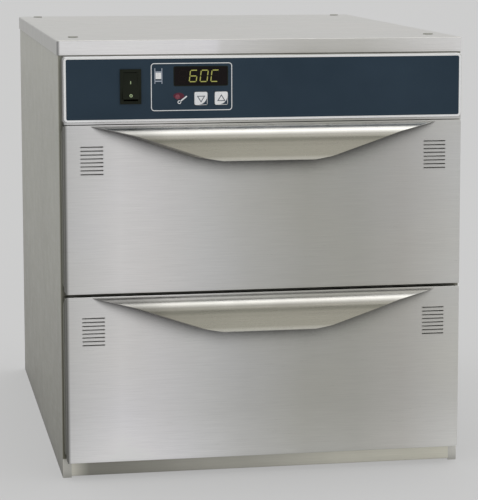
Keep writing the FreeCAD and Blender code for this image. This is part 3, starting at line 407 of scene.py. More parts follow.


# painted bands of light and shade on the sheets: stops of a place from 0 to 1 and a grey or a colour
coolSteel, warmSteel = (0.91, 0.91, 0.93), (0.9, 0.89, 0.865)
# painted reflection across the drawer fronts, lighter at the left and darker to the right, with painted
# shade on the left edge
frontPaintedLight = ((0.0045, 0.4), (0.0075, 0.52), (0.013, 0.8), (0.03, 0.84), (0.14, (1.0, 0.99, 1.0)),
             (0.22, (0.94, 0.93, 0.94)), (0.35, (0.8, 0.8, 0.79)), (0.45, (0.68, 0.68, 0.66)),
             (0.6, (0.58, 0.58, 0.55)), (0.73, (0.57, 0.57, 0.54)), (0.85, (0.64, 0.63, 0.6)),
             (0.98, (0.78, 0.78, 0.76)))
# painted light: the lowest part of the fronts is lightened against the shaded floor they reflect
frontPaintedLowLight = ((0.0, 1.2), (0.25, 1.02), (0.4, 1.0))
# painted reflection down the handle: a bright band at the bend, a dark band below it, a warm duller face
# for the floor it mirrors and a lighter hem
handlePaintedReflection = ((0.0, 1.12), (0.045, (1.12, 1.12, 1.11)), (0.07, (0.78, 0.78, 0.77)),
              (0.1, (0.58, 0.58, 0.565)), (0.13, (0.78, 0.77, 0.75)), (0.165, (1.03, 1.02, 0.98)),
              (0.2, (0.76, 0.75, 0.72)), (0.23, (0.54, 0.53, 0.5)), (0.265, (0.37, 0.36, 0.33)),
              (0.32, (0.37, 0.36, 0.32)), (0.41, (0.42, 0.41, 0.355)), (0.5, (0.53, 0.51, 0.44)),
              (0.6, (0.59, 0.57, 0.49)), (0.86, (0.6, 0.58, 0.5)), (0.93, (0.78, 0.76, 0.68)),
              (1.0, (0.86, 0.85, 0.79)))
# painted shade: the handle's bright band dims towards its left end
handlePaintedLeftShade = ((0.0, 0.5), (0.1, 0.56), (0.2, 0.92), (0.4, 1.0))
# painted shade: the rail darkens under the drawers towards the left, with a lighter corner at the far left
# end
railPaintedShade = ((0.0, 0.8), (0.04, 0.36), (0.1, 0.36), (0.35, 0.55), (0.5, 0.62), (0.7, (0.84, 0.84, 0.83)),
            (1.0, (0.9, 0.9, 0.88)))
# painted shade: the sides grow darker and warmer towards the bottom
sidePaintedShade = ((0.0, (0.46, 0.45, 0.41)), (0.13, (0.52, 0.51, 0.47)), (0.27, (0.6, 0.59, 0.56)),
            (0.44, (0.73, 0.725, 0.7)), (0.62, (0.81, 0.81, 0.79)), (0.8, (0.85, 0.85, 0.84)),
            (0.93, 0.97), (1.0, 1.0))
# painted reflection on the lid's front lip: bright over the left third, then grey, lighter again at the
# right end, with a dark left edge
lipPaintedReflectionStops = ((0.0, 0.3), (0.004, 0.36), (0.0075, (1.0, 0.99, 1.0)), (0.2, (1.0, 0.99, 1.0)),
            (0.36, (0.98, 0.97, 1.0)), (0.385, (0.95, 0.94, 0.97)), (0.4, (0.86, 0.85, 0.85)),
            (0.6, (0.7, 0.69, 0.66)), (0.75, (0.72, 0.71, 0.68)), (1.0, (0.94, 0.93, 0.93)))
# patches of painted light and shade, below a limit on two axes: limits are a place and its softness
# painted shade: the left flanges of the drawer fronts are dark, as the gap beside the case falls in shade
foldPaintedShade = {  # left flanges of the drawer fronts
    "below": (("X", -0.2072, 0.0028), ("Z", 0.3697, 0.0003)),
    "band": ("Z", 0.0, 0.37, ((0.0, (0.15, 0.15, 0.14)), (1.0, (0.17, 0.17, 0.16)))),
}
# painted light: the frame's feet beside the rail are lighter than the side's painted shade, a little darker
# at the left
footPaintedLight = {  # feet of the front frame, beside the base rail
    "below": (("Z", 0.0195, 0.001), ("Y", -0.2594, 0.0004)),
    "band": ("X", -0.21, 0.21, ((0.0, (0.7, 0.69, 0.64)), (1.0, (0.8, 0.79, 0.74)))),
}
# painted reflection: the lid's front lip takes its own bands of painted light
lipPaintedReflection = {  # front lip of the lid
    "below": (("Z", 0.4532, 0.001), ("Y", -0.2602, 0.0004)),
    "band": ("X", -0.2125, 0.2125, lipPaintedReflectionStops),
}
finishes = {
    # painted light and shade: reflection bands across and up the fronts, dark left flanges, and an
    # occlusion shade bent upward that paints the shadow under the handles
    "front": brushedSteel("frontSteelPaintedLight", coolSteel, warmSteel, "x", 0.34,
                          (("X", -0.21, 0.21, frontPaintedLight), ("Z", 0.02, 0.22, frontPaintedLowLight)),
                          crease=(0.07, 0.02, 0.17, 0.46, (0, 0, 1)), paintedPatch=foldPaintedShade),
    # painted shade: the side steel is a darker, olive-tinted copy of the front's, as the shaded side
    "side": brushedSteel("sideSteelPaintedShade", (0.43, 0.43, 0.37), (0.39, 0.385, 0.33), "y", 0.42,
                         (("Z", 0.0, 0.45, sidePaintedShade),), paintedPatch=footPaintedLight),
    # painted shade: the lid steel is a darker copy of the front's, to hold its top down under the bright
    # light from above
    "lid": brushedSteel("lidSteelPaintedShade", (0.475, 0.475, 0.455), (0.495, 0.485, 0.465), "x", 0.4, anisotropic=0.0,
                        crease=(0.002, 0.9), paintedPatch=lipPaintedReflection),
    "back": brushedSteel("backSteel", (0.6, 0.6, 0.57), (0.56, 0.56, 0.53), "x", 0.45),
    # painted light: the rail steel is a lighter, warmer copy of the front's, with painted shade towards the
    # left
    "rail": brushedSteel("railSteelPaintedLight", (0.98, 0.96, 0.86), (0.9, 0.88, 0.78), "x", 0.42,
                         (("X", -0.2, 0.2, railPaintedShade),), crease=(0.01, 0.9)),
    # painted reflection: the handle's colour carries bands by drop and dims at its left end
    "handle": brushedSteel("handleSteel", (0.86, 0.86, 0.84), (0.84, 0.83, 0.81), "x", 0.28,
                           (("drop", 0.0, 1.0, handlePaintedReflection), ("X", -0.17, 0.17, handlePaintedLeftShade)), 0.3,
                           crease=(0.004, 0.9)),
    "liner": brushedSteel("linerSteel", (0.62, 0.62, 0.61), (0.57, 0.57, 0.56), "y", 0.4),
    "pan": brushedSteel("panSteel", (0.72, 0.72, 0.72), (0.68, 0.68, 0.69), "y", 0.3),
    "zinc": plainMetal("zincSteel", (0.62, 0.64, 0.66), 0.32, 700.0),
    "fastener": plainMetal("fastenerSteel", (0.66, 0.66, 0.67), 0.28, 1500.0),
    "iron": plainMetal("laminatedIron", (0.16, 0.16, 0.17), 0.5, 600.0),
    "overlay": plastic("overlayFilm", srgb(40, 58, 73), 0.42, 2400.0, 0.06, gloss=0.2),
    "silver": plastic("borderPrint", srgb(250, 251, 253), 0.35, 1800.0, 0.04),
    "print": plastic("whitePrint", srgb(244, 246, 250), 0.5, 2200.0, 0.05),
    "grayPrint": plastic("greyPrint", srgb(168, 176, 190), 0.5, 2200.0, 0.05),
    "black": plastic("blackPlastic", (0.005, 0.008, 0.002), 0.42, 1200.0, 0.15, gloss=0.2),
    "window": plastic("windowTint", (0.004, 0.0015, 0.0015), 0.2, 1500.0, 0.02, gloss=0.15),
    "greyPlug": plastic("greyPlug", srgb(160, 160, 152), 0.45, 1200.0, 0.1, gloss=0.3),
    # painted light: the lamp's glow on the film, as a flat pink print
    "redPrint": plastic("lampGlowPrint", srgb(96, 42, 58), 0.45, 1500.0, 0.05, gloss=0.22),
    "rockerMark": plastic("rockerPrint", srgb(176, 196, 150), 0.5),
    "ghost": plastic("unlitSegment", (0.008, 0.004, 0.0035), 0.4, gloss=0.15),
    "segment": glowing("litSegment", (0.50, 0.50, 0.12), 0.46),
    "lens": plastic("redLens", srgb(128, 44, 64), 0.22, 1500.0, 0.03, 0.6),
    "key": plastic("keyWhite", srgb(243, 245, 249), 0.42, 1500.0, 0.06),
    "keyMark": plastic("keyMark", srgb(70, 78, 92), 0.5),
    "silicone": plastic("siliconeGrey", srgb(118, 118, 110), 0.6, 800.0, 0.2),
    "board": plastic("circuitBoard", (0.03, 0.19, 0.09), 0.4, 300.0, 0.3, 0.3),
    "sheath": plastic("cableSheath", (0.42, 0.13, 0.08), 0.55, 500.0, 0.2),
    "wool": fibre("mineralWool", (0.62, 0.56, 0.38)),
}
nodeFinish = {
    "lid": ("top_lid",),
    "side": ("left_side_panel", "right_side_panel", "front_frame"),
    "back": ("back_panel", "base_pan"),
    "rail": ("front_base_rail",),
    "front": ("control_panel", "drawer_front"),
    "handle": ("handle",),
    "liner": ("liner_", "inner_panel", "carrier", "damper", "controls_shelf"),
    "pan": ("food_pan",),
    "zinc": ("slide_rails", "middles", "runners"),
    "fastener": ("leg_nuts", "case_screws", "temperature_probe", "high_limit_thermostat"),
    "iron": ("transformer",),
    "overlay": ("panel_overlay",),
    "window": ("display_window",),
    "black": ("display_module", "rocker_housing", "power_rocker", "power_inlet"),
    "greyPlug": ("hole_plugs",),
    "lens": ("indicator_lamp",),
    "key": ("up_button", "down_button"),
    "silicone": ("gasket",),
    "board": ("control_board", "power_board"),
    "sheath": ("heating_cables",),
    "wool": ("insulation",),
}


def dressNodes():
    # a node takes the finish whose list holds its name, or a word of its name
    for name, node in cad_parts.items():
        finish = next(finish for finish, parts in nodeFinish.items() if any(part in name for part in parts))
        node.data.materials.clear()
        node.data.materials.append(finishes[finish])
    print("nodes dressed:", len(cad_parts))


# geometry node tools

def startTree(name, inputs):
    tree = bpy.data.node_groups.new(name, "GeometryNodeTree")
    tree.interface.new_socket("Geometry", in_out="OUTPUT", socket_type="NodeSocketGeometry")
    tree.interface.new_socket("Base", in_out="INPUT", socket_type="NodeSocketGeometry")
    for label, kind in [*inputs.items(), ("Material", "Material")]:
        tree.interface.new_socket(label, in_out="INPUT", socket_type=f"NodeSocket{kind}")
    given = tree.nodes.new("NodeGroupInput")
    return tree, given.outputs


def endTree(tree, given, geometry):
    smooth = step(tree, "GeometryNodeSetShadeSmooth", geometry)
    real = step(tree, "GeometryNodeRealizeInstances", smooth)
    painted = step(tree, "GeometryNodeSetMaterial", real, Material=given["Material"])
    step(tree, "NodeGroupOutput", painted)
    return tree


def grown(name, tree, points=(), **values):
    # an object whose mesh the tree makes; values are set by socket identifier
    piece = newObject(name, meshFrom(name, points, []))
    modifier = piece.modifiers.new(tree.name, "NODES")
    modifier.node_group = tree
    for item in tree.interface.items_tree:
        key = item.name.replace(" ", "")
        if item.in_out == "INPUT" and key in values:
            modifier[item.identifier] = values[key]
    return piece


# handles: one rule gives the curled sheet its depth at every point

handleShape = {
    "section": ((0.0, 0.0), (-13.0, -1.5), (-24.0, -14.0), (-24.0, -35.5), (-21.8, -35.5), (-21.8, -31.0)),
    "radii": (0.0, 14.0, 12.0, 1.0, 1.0, 0.0),
    "outline": ((0.0, 181.0), (8.0, 150.0), (32.3, 78.0), (35.5, 60.0)),
    "endRise": 1.9,
    "endBlend": 3.0,
    "columns": 620,
    "rows": 72,
    "filletSteps": 14,
    "thickness": 1.0,
    "clamp": 3.0,
}


def byIndex(tree, kind, values):
    node = tree.nodes.new("GeometryNodeIndexSwitch")
    node.data_type = kind
    while len(node.index_switch_items) < len(values):
        node.index_switch_items.new()
    for socket, value in zip(node.inputs[1:], values):
        socket.default_value = value
    give(tree, node, Index=step(tree, "GeometryNodeInputIndex"))
    return node


def handleTree():
    tree, given = startTree("curledHandle", {"Columns": "Int", "Rows": "Int", "End Rise": "Float",
                                             "End Blend": "Float", "Top Half": "Float", "Height": "Float",
                                             "Place": "Vector"})
    # side section: a line whose corners are rounded one by one
    line = step(tree, "GeometryNodeMeshLine", Count=len(handleShape["section"]))
    corners = [(0.0, y * mm, z * mm) for y, z in handleShape["section"]]
    bent = step(tree, "GeometryNodeSetPosition", line, Position=byIndex(tree, "VECTOR", corners))
    curve = step(tree, "GeometryNodeMeshToCurve", bent)
    radii = byIndex(tree, "FLOAT", [radius * mm for radius in handleShape["radii"]])
    fillet = step(tree, "GeometryNodeFilletCurve", curve, Radius=radii, Count=handleShape["filletSteps"],
                  mode="POLY")
    # a sheet of columns and rows, laid along that section
    grid = step(tree, "GeometryNodeMeshGrid", 1.0, 1.0, given["Columns"], given["Rows"])
    flat = parted(tree, step(tree, "GeometryNodeInputPosition"))
    sample = step(tree, "GeometryNodeSampleCurve", mode="FACTOR", Curves=fillet,
                  Factor=reckon(tree, "ADD", flat["Y"], 0.5))
    section = parted(tree, sample.outputs["Position"])
    # the front outline narrows with the drop below the drawer's top edge
    outline = tree.nodes.new("ShaderNodeFloatCurve")
    points = outline.mapping.curves[0].points
    while len(points) < len(handleShape["outline"]):
        points.new(0.5, 0.5)
    topHalf, height = handleShape["outline"][0][1], handleShape["outline"][-1][0]
    for point, (drop, half) in zip(points, handleShape["outline"]):
        point.location = (drop / height, half / topHalf)
        point.handle_type = "VECTOR"
    outline.mapping.update()
    fall = reckon(tree, "DIVIDE", times(tree, section["Z"], -1.0), given["Height"])
    give(tree, outline, Value=fall)
    half = times(tree, outline, given["Top Half"])
    # columns crowd towards the ends, where the sheet turns back to the drawer
    spread = reckon(tree, "SINE", times(tree, flat["X"], math.pi))
    across = times(tree, spread, half)
    inside = reckon(tree, "SUBTRACT", half, reckon(tree, "ABSOLUTE", across))
    endWall = times(tree, inside, given["End Rise"])
    forward = times(tree, section["Y"], -1.0)
    depth = reckon(tree, "SMOOTH_MIN", forward, endWall, given["End Blend"])
    depth = reckon(tree, "MAXIMUM", depth, 0.0)
    spot = vectorOf(tree, across, times(tree, depth, -1.0), section["Z"])
    placed = step(tree, "ShaderNodeVectorMath", spot, given["Place"])
    # the drop below the top edge is kept on the mesh for the handle's painted reflection bands
    marked = step(tree, "GeometryNodeStoreNamedAttribute", grid.outputs["Mesh"], Name="drop", Value=fall)
    shaped = step(tree, "GeometryNodeSetPosition", marked, Position=placed)
    return endTree(tree, given, shaped)


def makeHandles():
    tree = handleTree()
    for level in levels:
        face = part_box(f"{level}_drawer_front")[0].y
        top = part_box(f"{level}_drawer_handle")[1].z
        piece = grown(f"{level}_pull_handle", tree, Place=(0.0, face, top), Material=finishes["handle"],
                      Columns=handleShape["columns"], Rows=handleShape["rows"],
                      EndRise=handleShape["endRise"], EndBlend=handleShape["endBlend"] * mm,
                      TopHalf=handleShape["outline"][0][1] * mm, Height=handleShape["outline"][-1][0] * mm)
        wall = piece.modifiers.new("wall", "SOLIDIFY")
        wall.thickness = handleShape["thickness"] * mm
        wall.offset = 1.0
        wall.thickness_clamp = handleShape["clamp"]
        settle(piece, f"{level}_drawer", finishes["handle"])
        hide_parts(f"{level}_drawer_handle")
    print("handles made")


# hems: the folded edges of the drawer fronts and of the control panel

hemShape = {"top": 1.2, "bottom": 1.0, "lap": 2.5, "proud": 0.05, "sheet": 1.2, "sideInset": 0.6,
            "panelDrop": 1.2, "panelLap": 1.2, "foldSteps": 8}


def hemStrip(left, right, front, start, end):
    # a strip from start to end in height, closed by a round fold at its end
    back = front + hemShape["sheet"] * mm
    middle, half = (front + back) / 2, (back - front) / 2
    turn = 1 if end > start else -1
    centre = end - turn * half
    angles = [math.pi * k / hemShape["foldSteps"] for k in range(hemShape["foldSteps"] + 1)]
    fold = [(middle - half * math.cos(angle), centre + turn * half * math.sin(angle)) for angle in angles]
    profile = [(front, start)] + fold + [(back, start)]
    rings = [[(x, y, z) for y, z in profile] for x in (left, right)]
    return loft("hem", rings, (True, True))


def makeHems():
    inset, proud, lap = (hemShape[key] * mm for key in ("sideInset", "proud", "lap"))
    for level in levels:
        low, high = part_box(f"{level}_drawer_front")
        left, right, front = low.x + inset, high.x - inset, low.y - proud
        edges = [hemStrip(left, right, front, high.z - lap, high.z + hemShape["top"] * mm),
                 hemStrip(left, right, front, low.z + lap, low.z - hemShape["bottom"] * mm)]
        piece = sharpEdges(newObject(f"{level}_front_hems", joinedMesh("hems", edges)))
        settle(piece, f"{level}_drawer", finishes["front"])
    low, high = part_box("control_panel")
    strip = hemStrip(low.x + inset, high.x - inset, low.y - proud, low.z + hemShape["panelLap"] * mm,
                     low.z - hemShape["panelDrop"] * mm)
    settle(sharpEdges(newObject("panel_lower_hem", strip)), "cabinet", finishes["front"])
    print("hems made")


# gaskets: a soft bulb swept round each drawer's back edge

gasketShape = {"bulbHalf": 4.2, "corner": 7.0, "cornerSteps": 12, "bulbSides": 24}


def gasketTree():
    tree, given = startTree("sweptGasket", {"Width": "Float", "Height": "Float", "Corner": "Float",
                                            "Bulb Half": "Float", "Bulb Depth": "Float", "Place": "Vector"})
    path = step(tree, "GeometryNodeCurvePrimitiveQuadrilateral", given["Width"], given["Height"])
    rounded = step(tree, "GeometryNodeFilletCurve", path, Radius=given["Corner"],
                   Count=gasketShape["cornerSteps"], mode="POLY")
    level = step(tree, "GeometryNodeSetCurveNormal", rounded, mode="Z_UP")
    ring = step(tree, "GeometryNodeCurvePrimitiveCircle", Resolution=gasketShape["bulbSides"], Radius=1.0)
    squeezed = step(tree, "GeometryNodeTransform", ring,
                    Scale=vectorOf(tree, given["Bulb Half"], given["Bulb Depth"], 1.0))
    swept = step(tree, "GeometryNodeCurveToMesh", level, squeezed)
    upright = step(tree, "GeometryNodeTransform", swept, Translation=given["Place"],
                   Rotation=(math.pi / 2, 0.0, 0.0))
    return endTree(tree, given, upright)


def makeGaskets():
    tree = gasketTree()
    for level in levels:
        low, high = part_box(f"{level}_drawer_gasket")
        middle, reach = (low + high) / 2, high - low
        bulb = gasketShape["bulbHalf"] * mm
        piece = grown(f"{level}_bulb_gasket", tree, Width=reach.x - 2 * bulb, Height=reach.z - 2 * bulb,
                      Corner=gasketShape["corner"] * mm, BulbHalf=bulb, BulbDepth=reach.y / 2,
                      Place=tuple(middle), Material=finishes["silicone"])
        settle(piece, f"{level}_drawer", finishes["silicone"])
        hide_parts(f"{level}_drawer_gasket")
    print("gaskets made")


# vent slots: each has a rolled lip round it

ventShape = {"count": 8, "pitch": 4.0, "width": 23.5, "height": 1.4, "topDrop": 21.0, "inset": 28.6,
             "lip": 0.3, "lipSpread": 0.6, "lipSides": 8, "roundness": 0.48, "cornerSteps": 5}


def ventTree():
    tree, given = startTree("slotLips", {"Slot Width": "Float", "Slot Height": "Float", "Lip": "Float",
                                         "Pitch": "Float", "Count": "Int", "Reach": "Float",
                                         "Place": "Vector"})
    spread = times(tree, given["Lip"], ventShape["lipSpread"])
    outerWidth = reckon(tree, "ADD", given["Slot Width"], spread)
    outerHeight = reckon(tree, "ADD", given["Slot Height"], spread)
    slot = step(tree, "GeometryNodeCurvePrimitiveQuadrilateral", outerWidth, outerHeight)
    corner = times(tree, outerHeight, ventShape["roundness"])
    rounded = step(tree, "GeometryNodeFilletCurve", slot, Radius=corner, Count=ventShape["cornerSteps"],
                   mode="POLY")
    wireRing = step(tree, "GeometryNodeCurvePrimitiveCircle", Resolution=ventShape["lipSides"],
                    Radius=given["Lip"])
    rim = step(tree, "GeometryNodeCurveToMesh", rounded, wireRing)
    drop = vectorOf(tree, z=times(tree, given["Pitch"], -1.0))
    column = step(tree, "GeometryNodeMeshLine", Count=given["Count"], Offset=drop)
    upright = (math.pi / 2, 0.0, 0.0)
    rims = step(tree, "GeometryNodeInstanceOnPoints", column, Instance=rim, Rotation=upright)
    both = tree.nodes.new("GeometryNodeJoinGeometry")
    for side in (-1.0, 1.0):
        reach = vectorOf(tree, times(tree, given["Reach"], side))
        feed(tree, both.inputs[0], step(tree, "GeometryNodeTransform", rims, Translation=reach))
    placed = step(tree, "GeometryNodeTransform", both, Translation=given["Place"])
    return endTree(tree, given, placed)


def makeVentLips():
    tree = ventTree()
    for level in levels:
        low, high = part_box(f"{level}_drawer_front")
        piece = grown(f"{level}_vent_lips", tree, SlotWidth=ventShape["width"] * mm,
                      SlotHeight=ventShape["height"] * mm, Lip=ventShape["lip"] * mm,
                      Pitch=ventShape["pitch"] * mm, Count=ventShape["count"],
                      Reach=high.x - ventShape["inset"] * mm,
                      Place=(0.0, low.y, high.z - ventShape["topDrop"] * mm), Material=finishes["front"])
        settle(piece, f"{level}_drawer", finishes["front"])
    print("vent lips made")


# domed heads: hole plugs in the lid, screws at the back, the lamp's lens

plugShape = {"radius": 5.2, "rise": 1.3, "squareness": 0.55, "rings": 14}
screwShape = {"radius": 3.6, "cover": 1.02, "rise": 1.8, "squareness": 0.7, "rings": 14,
              "slotLength": 3.6, "slotWidth": 0.9, "slotDepth": 1.0}
lensShape = {"radius": 2.6, "rise": 1.0, "squareness": 1.0, "rings": 14}
headSides = 32


def headTree(name, recessed):
    tree, given = startTree(name, {"Radius": "Float", "Rise": "Float", "Squareness": "Float",
                                   "Rings": "Int", "Turn": "Vector", "Slot Length": "Float",
                                   "Slot Width": "Float", "Slot Depth": "Float"})
    line = step(tree, "GeometryNodeMeshLine", Count=given["Rings"])
    share = reckon(tree, "DIVIDE", step(tree, "GeometryNodeInputIndex"), given["Rings"])
    angle = times(tree, share, math.pi / 2)
    tall = reckon(tree, "POWER", reckon(tree, "SINE", angle), given["Squareness"])
    wide = reckon(tree, "POWER", reckon(tree, "COSINE", angle), given["Squareness"])
    risen = step(tree, "GeometryNodeSetPosition", line,
                 Position=vectorOf(tree, z=times(tree, tall, given["Rise"])))
    axis = step(tree, "GeometryNodeMeshToCurve", risen)
    ring = step(tree, "GeometryNodeCurvePrimitiveCircle", Resolution=headSides, Radius=given["Radius"])
    head = step(tree, "GeometryNodeCurveToMesh", axis, ring, Scale=wide, Fill_Caps=True)
    if recessed:
        length, width = given["Slot Length"], given["Slot Width"]
        for size in ((length, width), (width, length)):
            bar = step(tree, "GeometryNodeMeshCube", vectorOf(tree, *size, given["Slot Depth"]))
            sunk = step(tree, "GeometryNodeTransform", bar, Translation=vectorOf(tree, z=given["Rise"]))
            head = step(tree, "GeometryNodeMeshBoolean", head, sunk)
    spots = step(tree, "GeometryNodeMeshToPoints", given["Base"])
    placed = step(tree, "GeometryNodeInstanceOnPoints", spots, Instance=head, Rotation=given["Turn"])
    return endTree(tree, given, placed)


def heads(name, tree, spots, shape, turn, finish):
    sizes = {key: shape.get(key[0].lower() + key[1:], 0.0) * mm
             for key in ("Radius", "Rise", "SlotLength", "SlotWidth", "SlotDepth")}
    sizes["Radius"] *= shape.get("cover", 1.0)
    piece = grown(name, tree, spots, **sizes, Squareness=shape["squareness"], Rings=shape["rings"],
                  Turn=turn, Material=finishes[finish])
    return settle(piece, "cabinet", finishes[finish])


def makeHeads():
    plain, crossed = headTree("domedHead", False), headTree("crossHead", True)
    low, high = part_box("hole_plugs")
    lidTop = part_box("top_lid")[1].z
    inset = plugShape["radius"] * mm
    across, along = (low.x + inset, high.x - inset), (low.y + inset, high.y - inset)
    spots = [(x, y, lidTop) for x in across for y in along]
    heads("lid_plug_domes", plain, spots, plugShape, (0.0, 0.0, 0.0), "greyPlug")

    low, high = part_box("case_screws")
    outside = high.y - screwShape["rise"] * mm
    inset = screwShape["radius"] * mm
    heights = [low.z + inset, (low.z + high.z) / 2, high.z - inset]
    spots = [(x, outside, z) for x in (low.x + inset, high.x - inset) for z in heights]
    screws = heads("back_screw_heads", crossed, spots, screwShape, (-math.pi / 2, 0.0, 0.0),
                   "fastener")
    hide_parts("case_screws")

    low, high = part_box("indicator_lamp")
    middle = (low + high) / 2
    heads("lamp_lens", plain, [(middle.x, low.y, middle.z)], lensShape, (math.pi / 2, 0.0, 0.0),
          "lens")
    print("plugs, screws and lens made")


# hoods over the louvre slots in the back panel

louvreShape = {"centre": -30.0, "step": 90.0, "columns": 3, "rows": 4, "pitch": 9.0, "width": 63.0,
               "hoodHeight": 5.6, "proud": 2.2, "low": 388.4, "sheet": 0.8, "endSquareness": 10.0,
               "bow": 2.2, "grid": (48, 14)}


def louvreTree():
    tree, given = startTree("louvreHoods", {"Width": "Float", "Hood Height": "Float", "Proud": "Float"})
    grid = step(tree, "GeometryNodeMeshGrid", 2.0, 1.0, *louvreShape["grid"])
    flat = parted(tree, step(tree, "GeometryNodeInputPosition"))
    rise = reckon(tree, "ADD", flat["Y"], 0.5)
    fromEnd = reckon(tree, "POWER", reckon(tree, "ABSOLUTE", flat["X"]), louvreShape["endSquareness"])
    edge = reckon(tree, "SUBTRACT", 1.0, fromEnd)
    fall = reckon(tree, "SUBTRACT", 1.0, reckon(tree, "POWER", rise, louvreShape["bow"]))
    bow = reckon(tree, "SQRT", reckon(tree, "MAXIMUM", fall, 0.0))
    depth = times(tree, times(tree, edge, bow), given["Proud"])
    across = times(tree, flat["X"], times(tree, given["Width"], 0.5))
    spot = vectorOf(tree, across, depth, times(tree, rise, given["Hood Height"]))
    hood = step(tree, "GeometryNodeSetPosition", grid.outputs["Mesh"], Position=spot)
    spots = step(tree, "GeometryNodeMeshToPoints", given["Base"])
    hoods = step(tree, "GeometryNodeInstanceOnPoints", spots, Instance=hood)
    return endTree(tree, given, hoods)


def makeLouvres():
    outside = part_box("back_panel")[1].y
    columns = [louvreShape["centre"] + louvreShape["step"] * (k - 1) for k in range(louvreShape["columns"])]
    heights = [louvreShape["low"] + louvreShape["pitch"] * k for k in range(louvreShape["rows"])]
    spots = [(x * mm, outside, z * mm) for x in columns for z in heights]
    hoods = grown("back_louvre_hoods", louvreTree(), spots, Width=louvreShape["width"] * mm,
                  HoodHeight=louvreShape["hoodHeight"] * mm, Proud=louvreShape["proud"] * mm,
                  Material=finishes["back"])
    wall = hoods.modifiers.new("wall", "SOLIDIFY")
    wall.thickness = louvreShape["sheet"] * mm
    wall.offset = -1.0
    settle(hoods, "cabinet", finishes["back"])
    print("louvres made")


# control panel: printed film, window, keys and rocker

printShape = {"rise": 0.12, "border": 2.2, "spread": 0.6, "corner": 3.4, "frameLine": 0.75,
              "frameCorner": 3.4, "frameX": (-118.7, -35.1), "frameZ": (382.8, 431.5),
              "glowShift": (1.4, 0.9), "glowHalf": (5.6, 3.3)}
digitShape = {"x": (-90.5, -79.4, -68.3, -57.2), "lit": ("", "acdefg", "abcdef", "adef"), "low": 412.3,
              "width": 7.2, "height": 11.6, "stroke": 1.0, "lean": 0.12, "gap": 0.35, "rise": 0.06}
windowShape = {"corner": 1.2, "spread": 0.5, "line": 0.9, "rise": 0.16}
iconShape = {"pane": ((-113.9, 415.4), (-108.1, 421.8)),
             "rungs": (((-115.0, 422.0), (-107.0, 423.2)), ((-115.0, 412.6), (-107.0, 413.8))),
             "postX": (-115.0, -107.8), "postWidth": 0.8,
             "postZ": ((423.4, 426.4), (410.6, 412.4), (414.0, 421.8))}
keyIcon = {"head": (-89.6, 391.6), "rodStart": (-88.6, 392.4), "tip": (-81.9, 397.6), "rod": 1.3,
           "ring": 1.9, "line": 0.8}


def ringMesh(name, outer, inner, back, front):
    # a flat band between two loops of equal length, from back to front
    rings = [[(x, back, z) for x, z in outer], [(x, front, z) for x, z in outer],
             [(x, front, z) for x, z in inner], [(x, back, z) for x, z in inner]]
    return loft(name, rings, closeRings=True)


def printed(name, meshes, finish, body="cabinet"):
    piece = newObject(name, joinedMesh(name, meshes))
    sharpEdges(piece)
    return settle(piece, body, finishes[finish])


def boxLoop(low, high):
    return [(high[0], low[1]), (high[0], high[1]), (low[0], high[1]), (low[0], low[1])]


def bandLoop(start, end, half):
    # a straight bar between two points
    along = Vector((end[0] - start[0], end[1] - start[1])).normalized() * half
    side = Vector((-along.y, along.x))
    a, b = Vector(start), Vector(end)
    return [tuple(a - side), tuple(b - side), tuple(b + side), tuple(a + side)]


def circleLoop(centre, radius, count=28):
    return [(centre[0] + radius * math.cos(2 * math.pi * k / count),
             centre[1] + radius * math.sin(2 * math.pi * k / count)) for k in range(count)]


def inMetres(loop):
    return [(x * mm, z * mm) for x, z in loop]


def flatPrint(name, loop, face, rise):
    loop = inMetres(loop)
    return slab(name, (loop, loop), (face, face - rise * mm))


def outlinePrint(name, loopOf, grow, line, face, rise):
    outer, inner = inMetres(loopOf(grow)), inMetres(loopOf(grow - line))
    return ringMesh(name, outer, inner, face, face - rise * mm)


def growingBox(x0, x1, z0, z1, corner):
    # a rounded outline that can be made larger or smaller
    return lambda grow: roundedLoop((x0 - grow, z0 - grow), (x1 + grow, z1 + grow), corner + grow)


def sidesOf(node):
    # left, right, bottom and top in millimetres
    low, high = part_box(node)
    return low.x / mm, high.x / mm, low.z / mm, high.z / mm


def makeOverlayPrint():
    face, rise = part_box("panel_overlay")[0].y, printShape["rise"]
    border = growingBox(*sidesOf("panel_overlay"), printShape["corner"])
    printed("overlay_border", [outlinePrint("border", border, printShape["spread"], printShape["border"],
                                            face, rise)], "silver")
    frameLoop = growingBox(*printShape["frameX"], *printShape["frameZ"], printShape["frameCorner"])
    marks = [outlinePrint("frameLine", frameLoop, 0.0, printShape["frameLine"], face, rise),
             flatPrint("iconPane", boxLoop(*iconShape["pane"]), face, rise),
             flatPrint("keyRod", bandLoop(keyIcon["rodStart"], keyIcon["tip"], keyIcon["rod"] / 2), face,
                       rise),
             outlinePrint("keyRing", lambda grow: circleLoop(keyIcon["head"], keyIcon["ring"] + grow), 0.0,
                          keyIcon["line"], face, rise)]
    printed("overlay_marks", marks, "print")

    # painted light: a pink print round the lamp, wider than the lens and shifted, stands in for its glow on
    # the film
    left, right, bottom, top = sidesOf("indicator_lamp")
    (shiftX, shiftZ), (halfX, halfZ) = printShape["glowShift"], printShape["glowHalf"]
    glow = [((left + right) / 2 + shiftX + x * halfX, (bottom + top) / 2 + shiftZ + z * halfZ)
            for x, z in circleLoop((0, 0), 1.0)]
    printed("painted_lamp_glow", [flatPrint("lampGlow", glow, face, rise / 2)], "redPrint")

    boxes = [*iconShape["rungs"]]
    boxes += [((x, z0), (x + iconShape["postWidth"], z1)) for x in iconShape["postX"]
              for z0, z1 in iconShape["postZ"]]
    grey = [flatPrint("iconBar", boxLoop(*box), face, rise) for box in boxes]
    printed("overlay_grey_marks", grey, "grayPrint")
    print("panel printed")


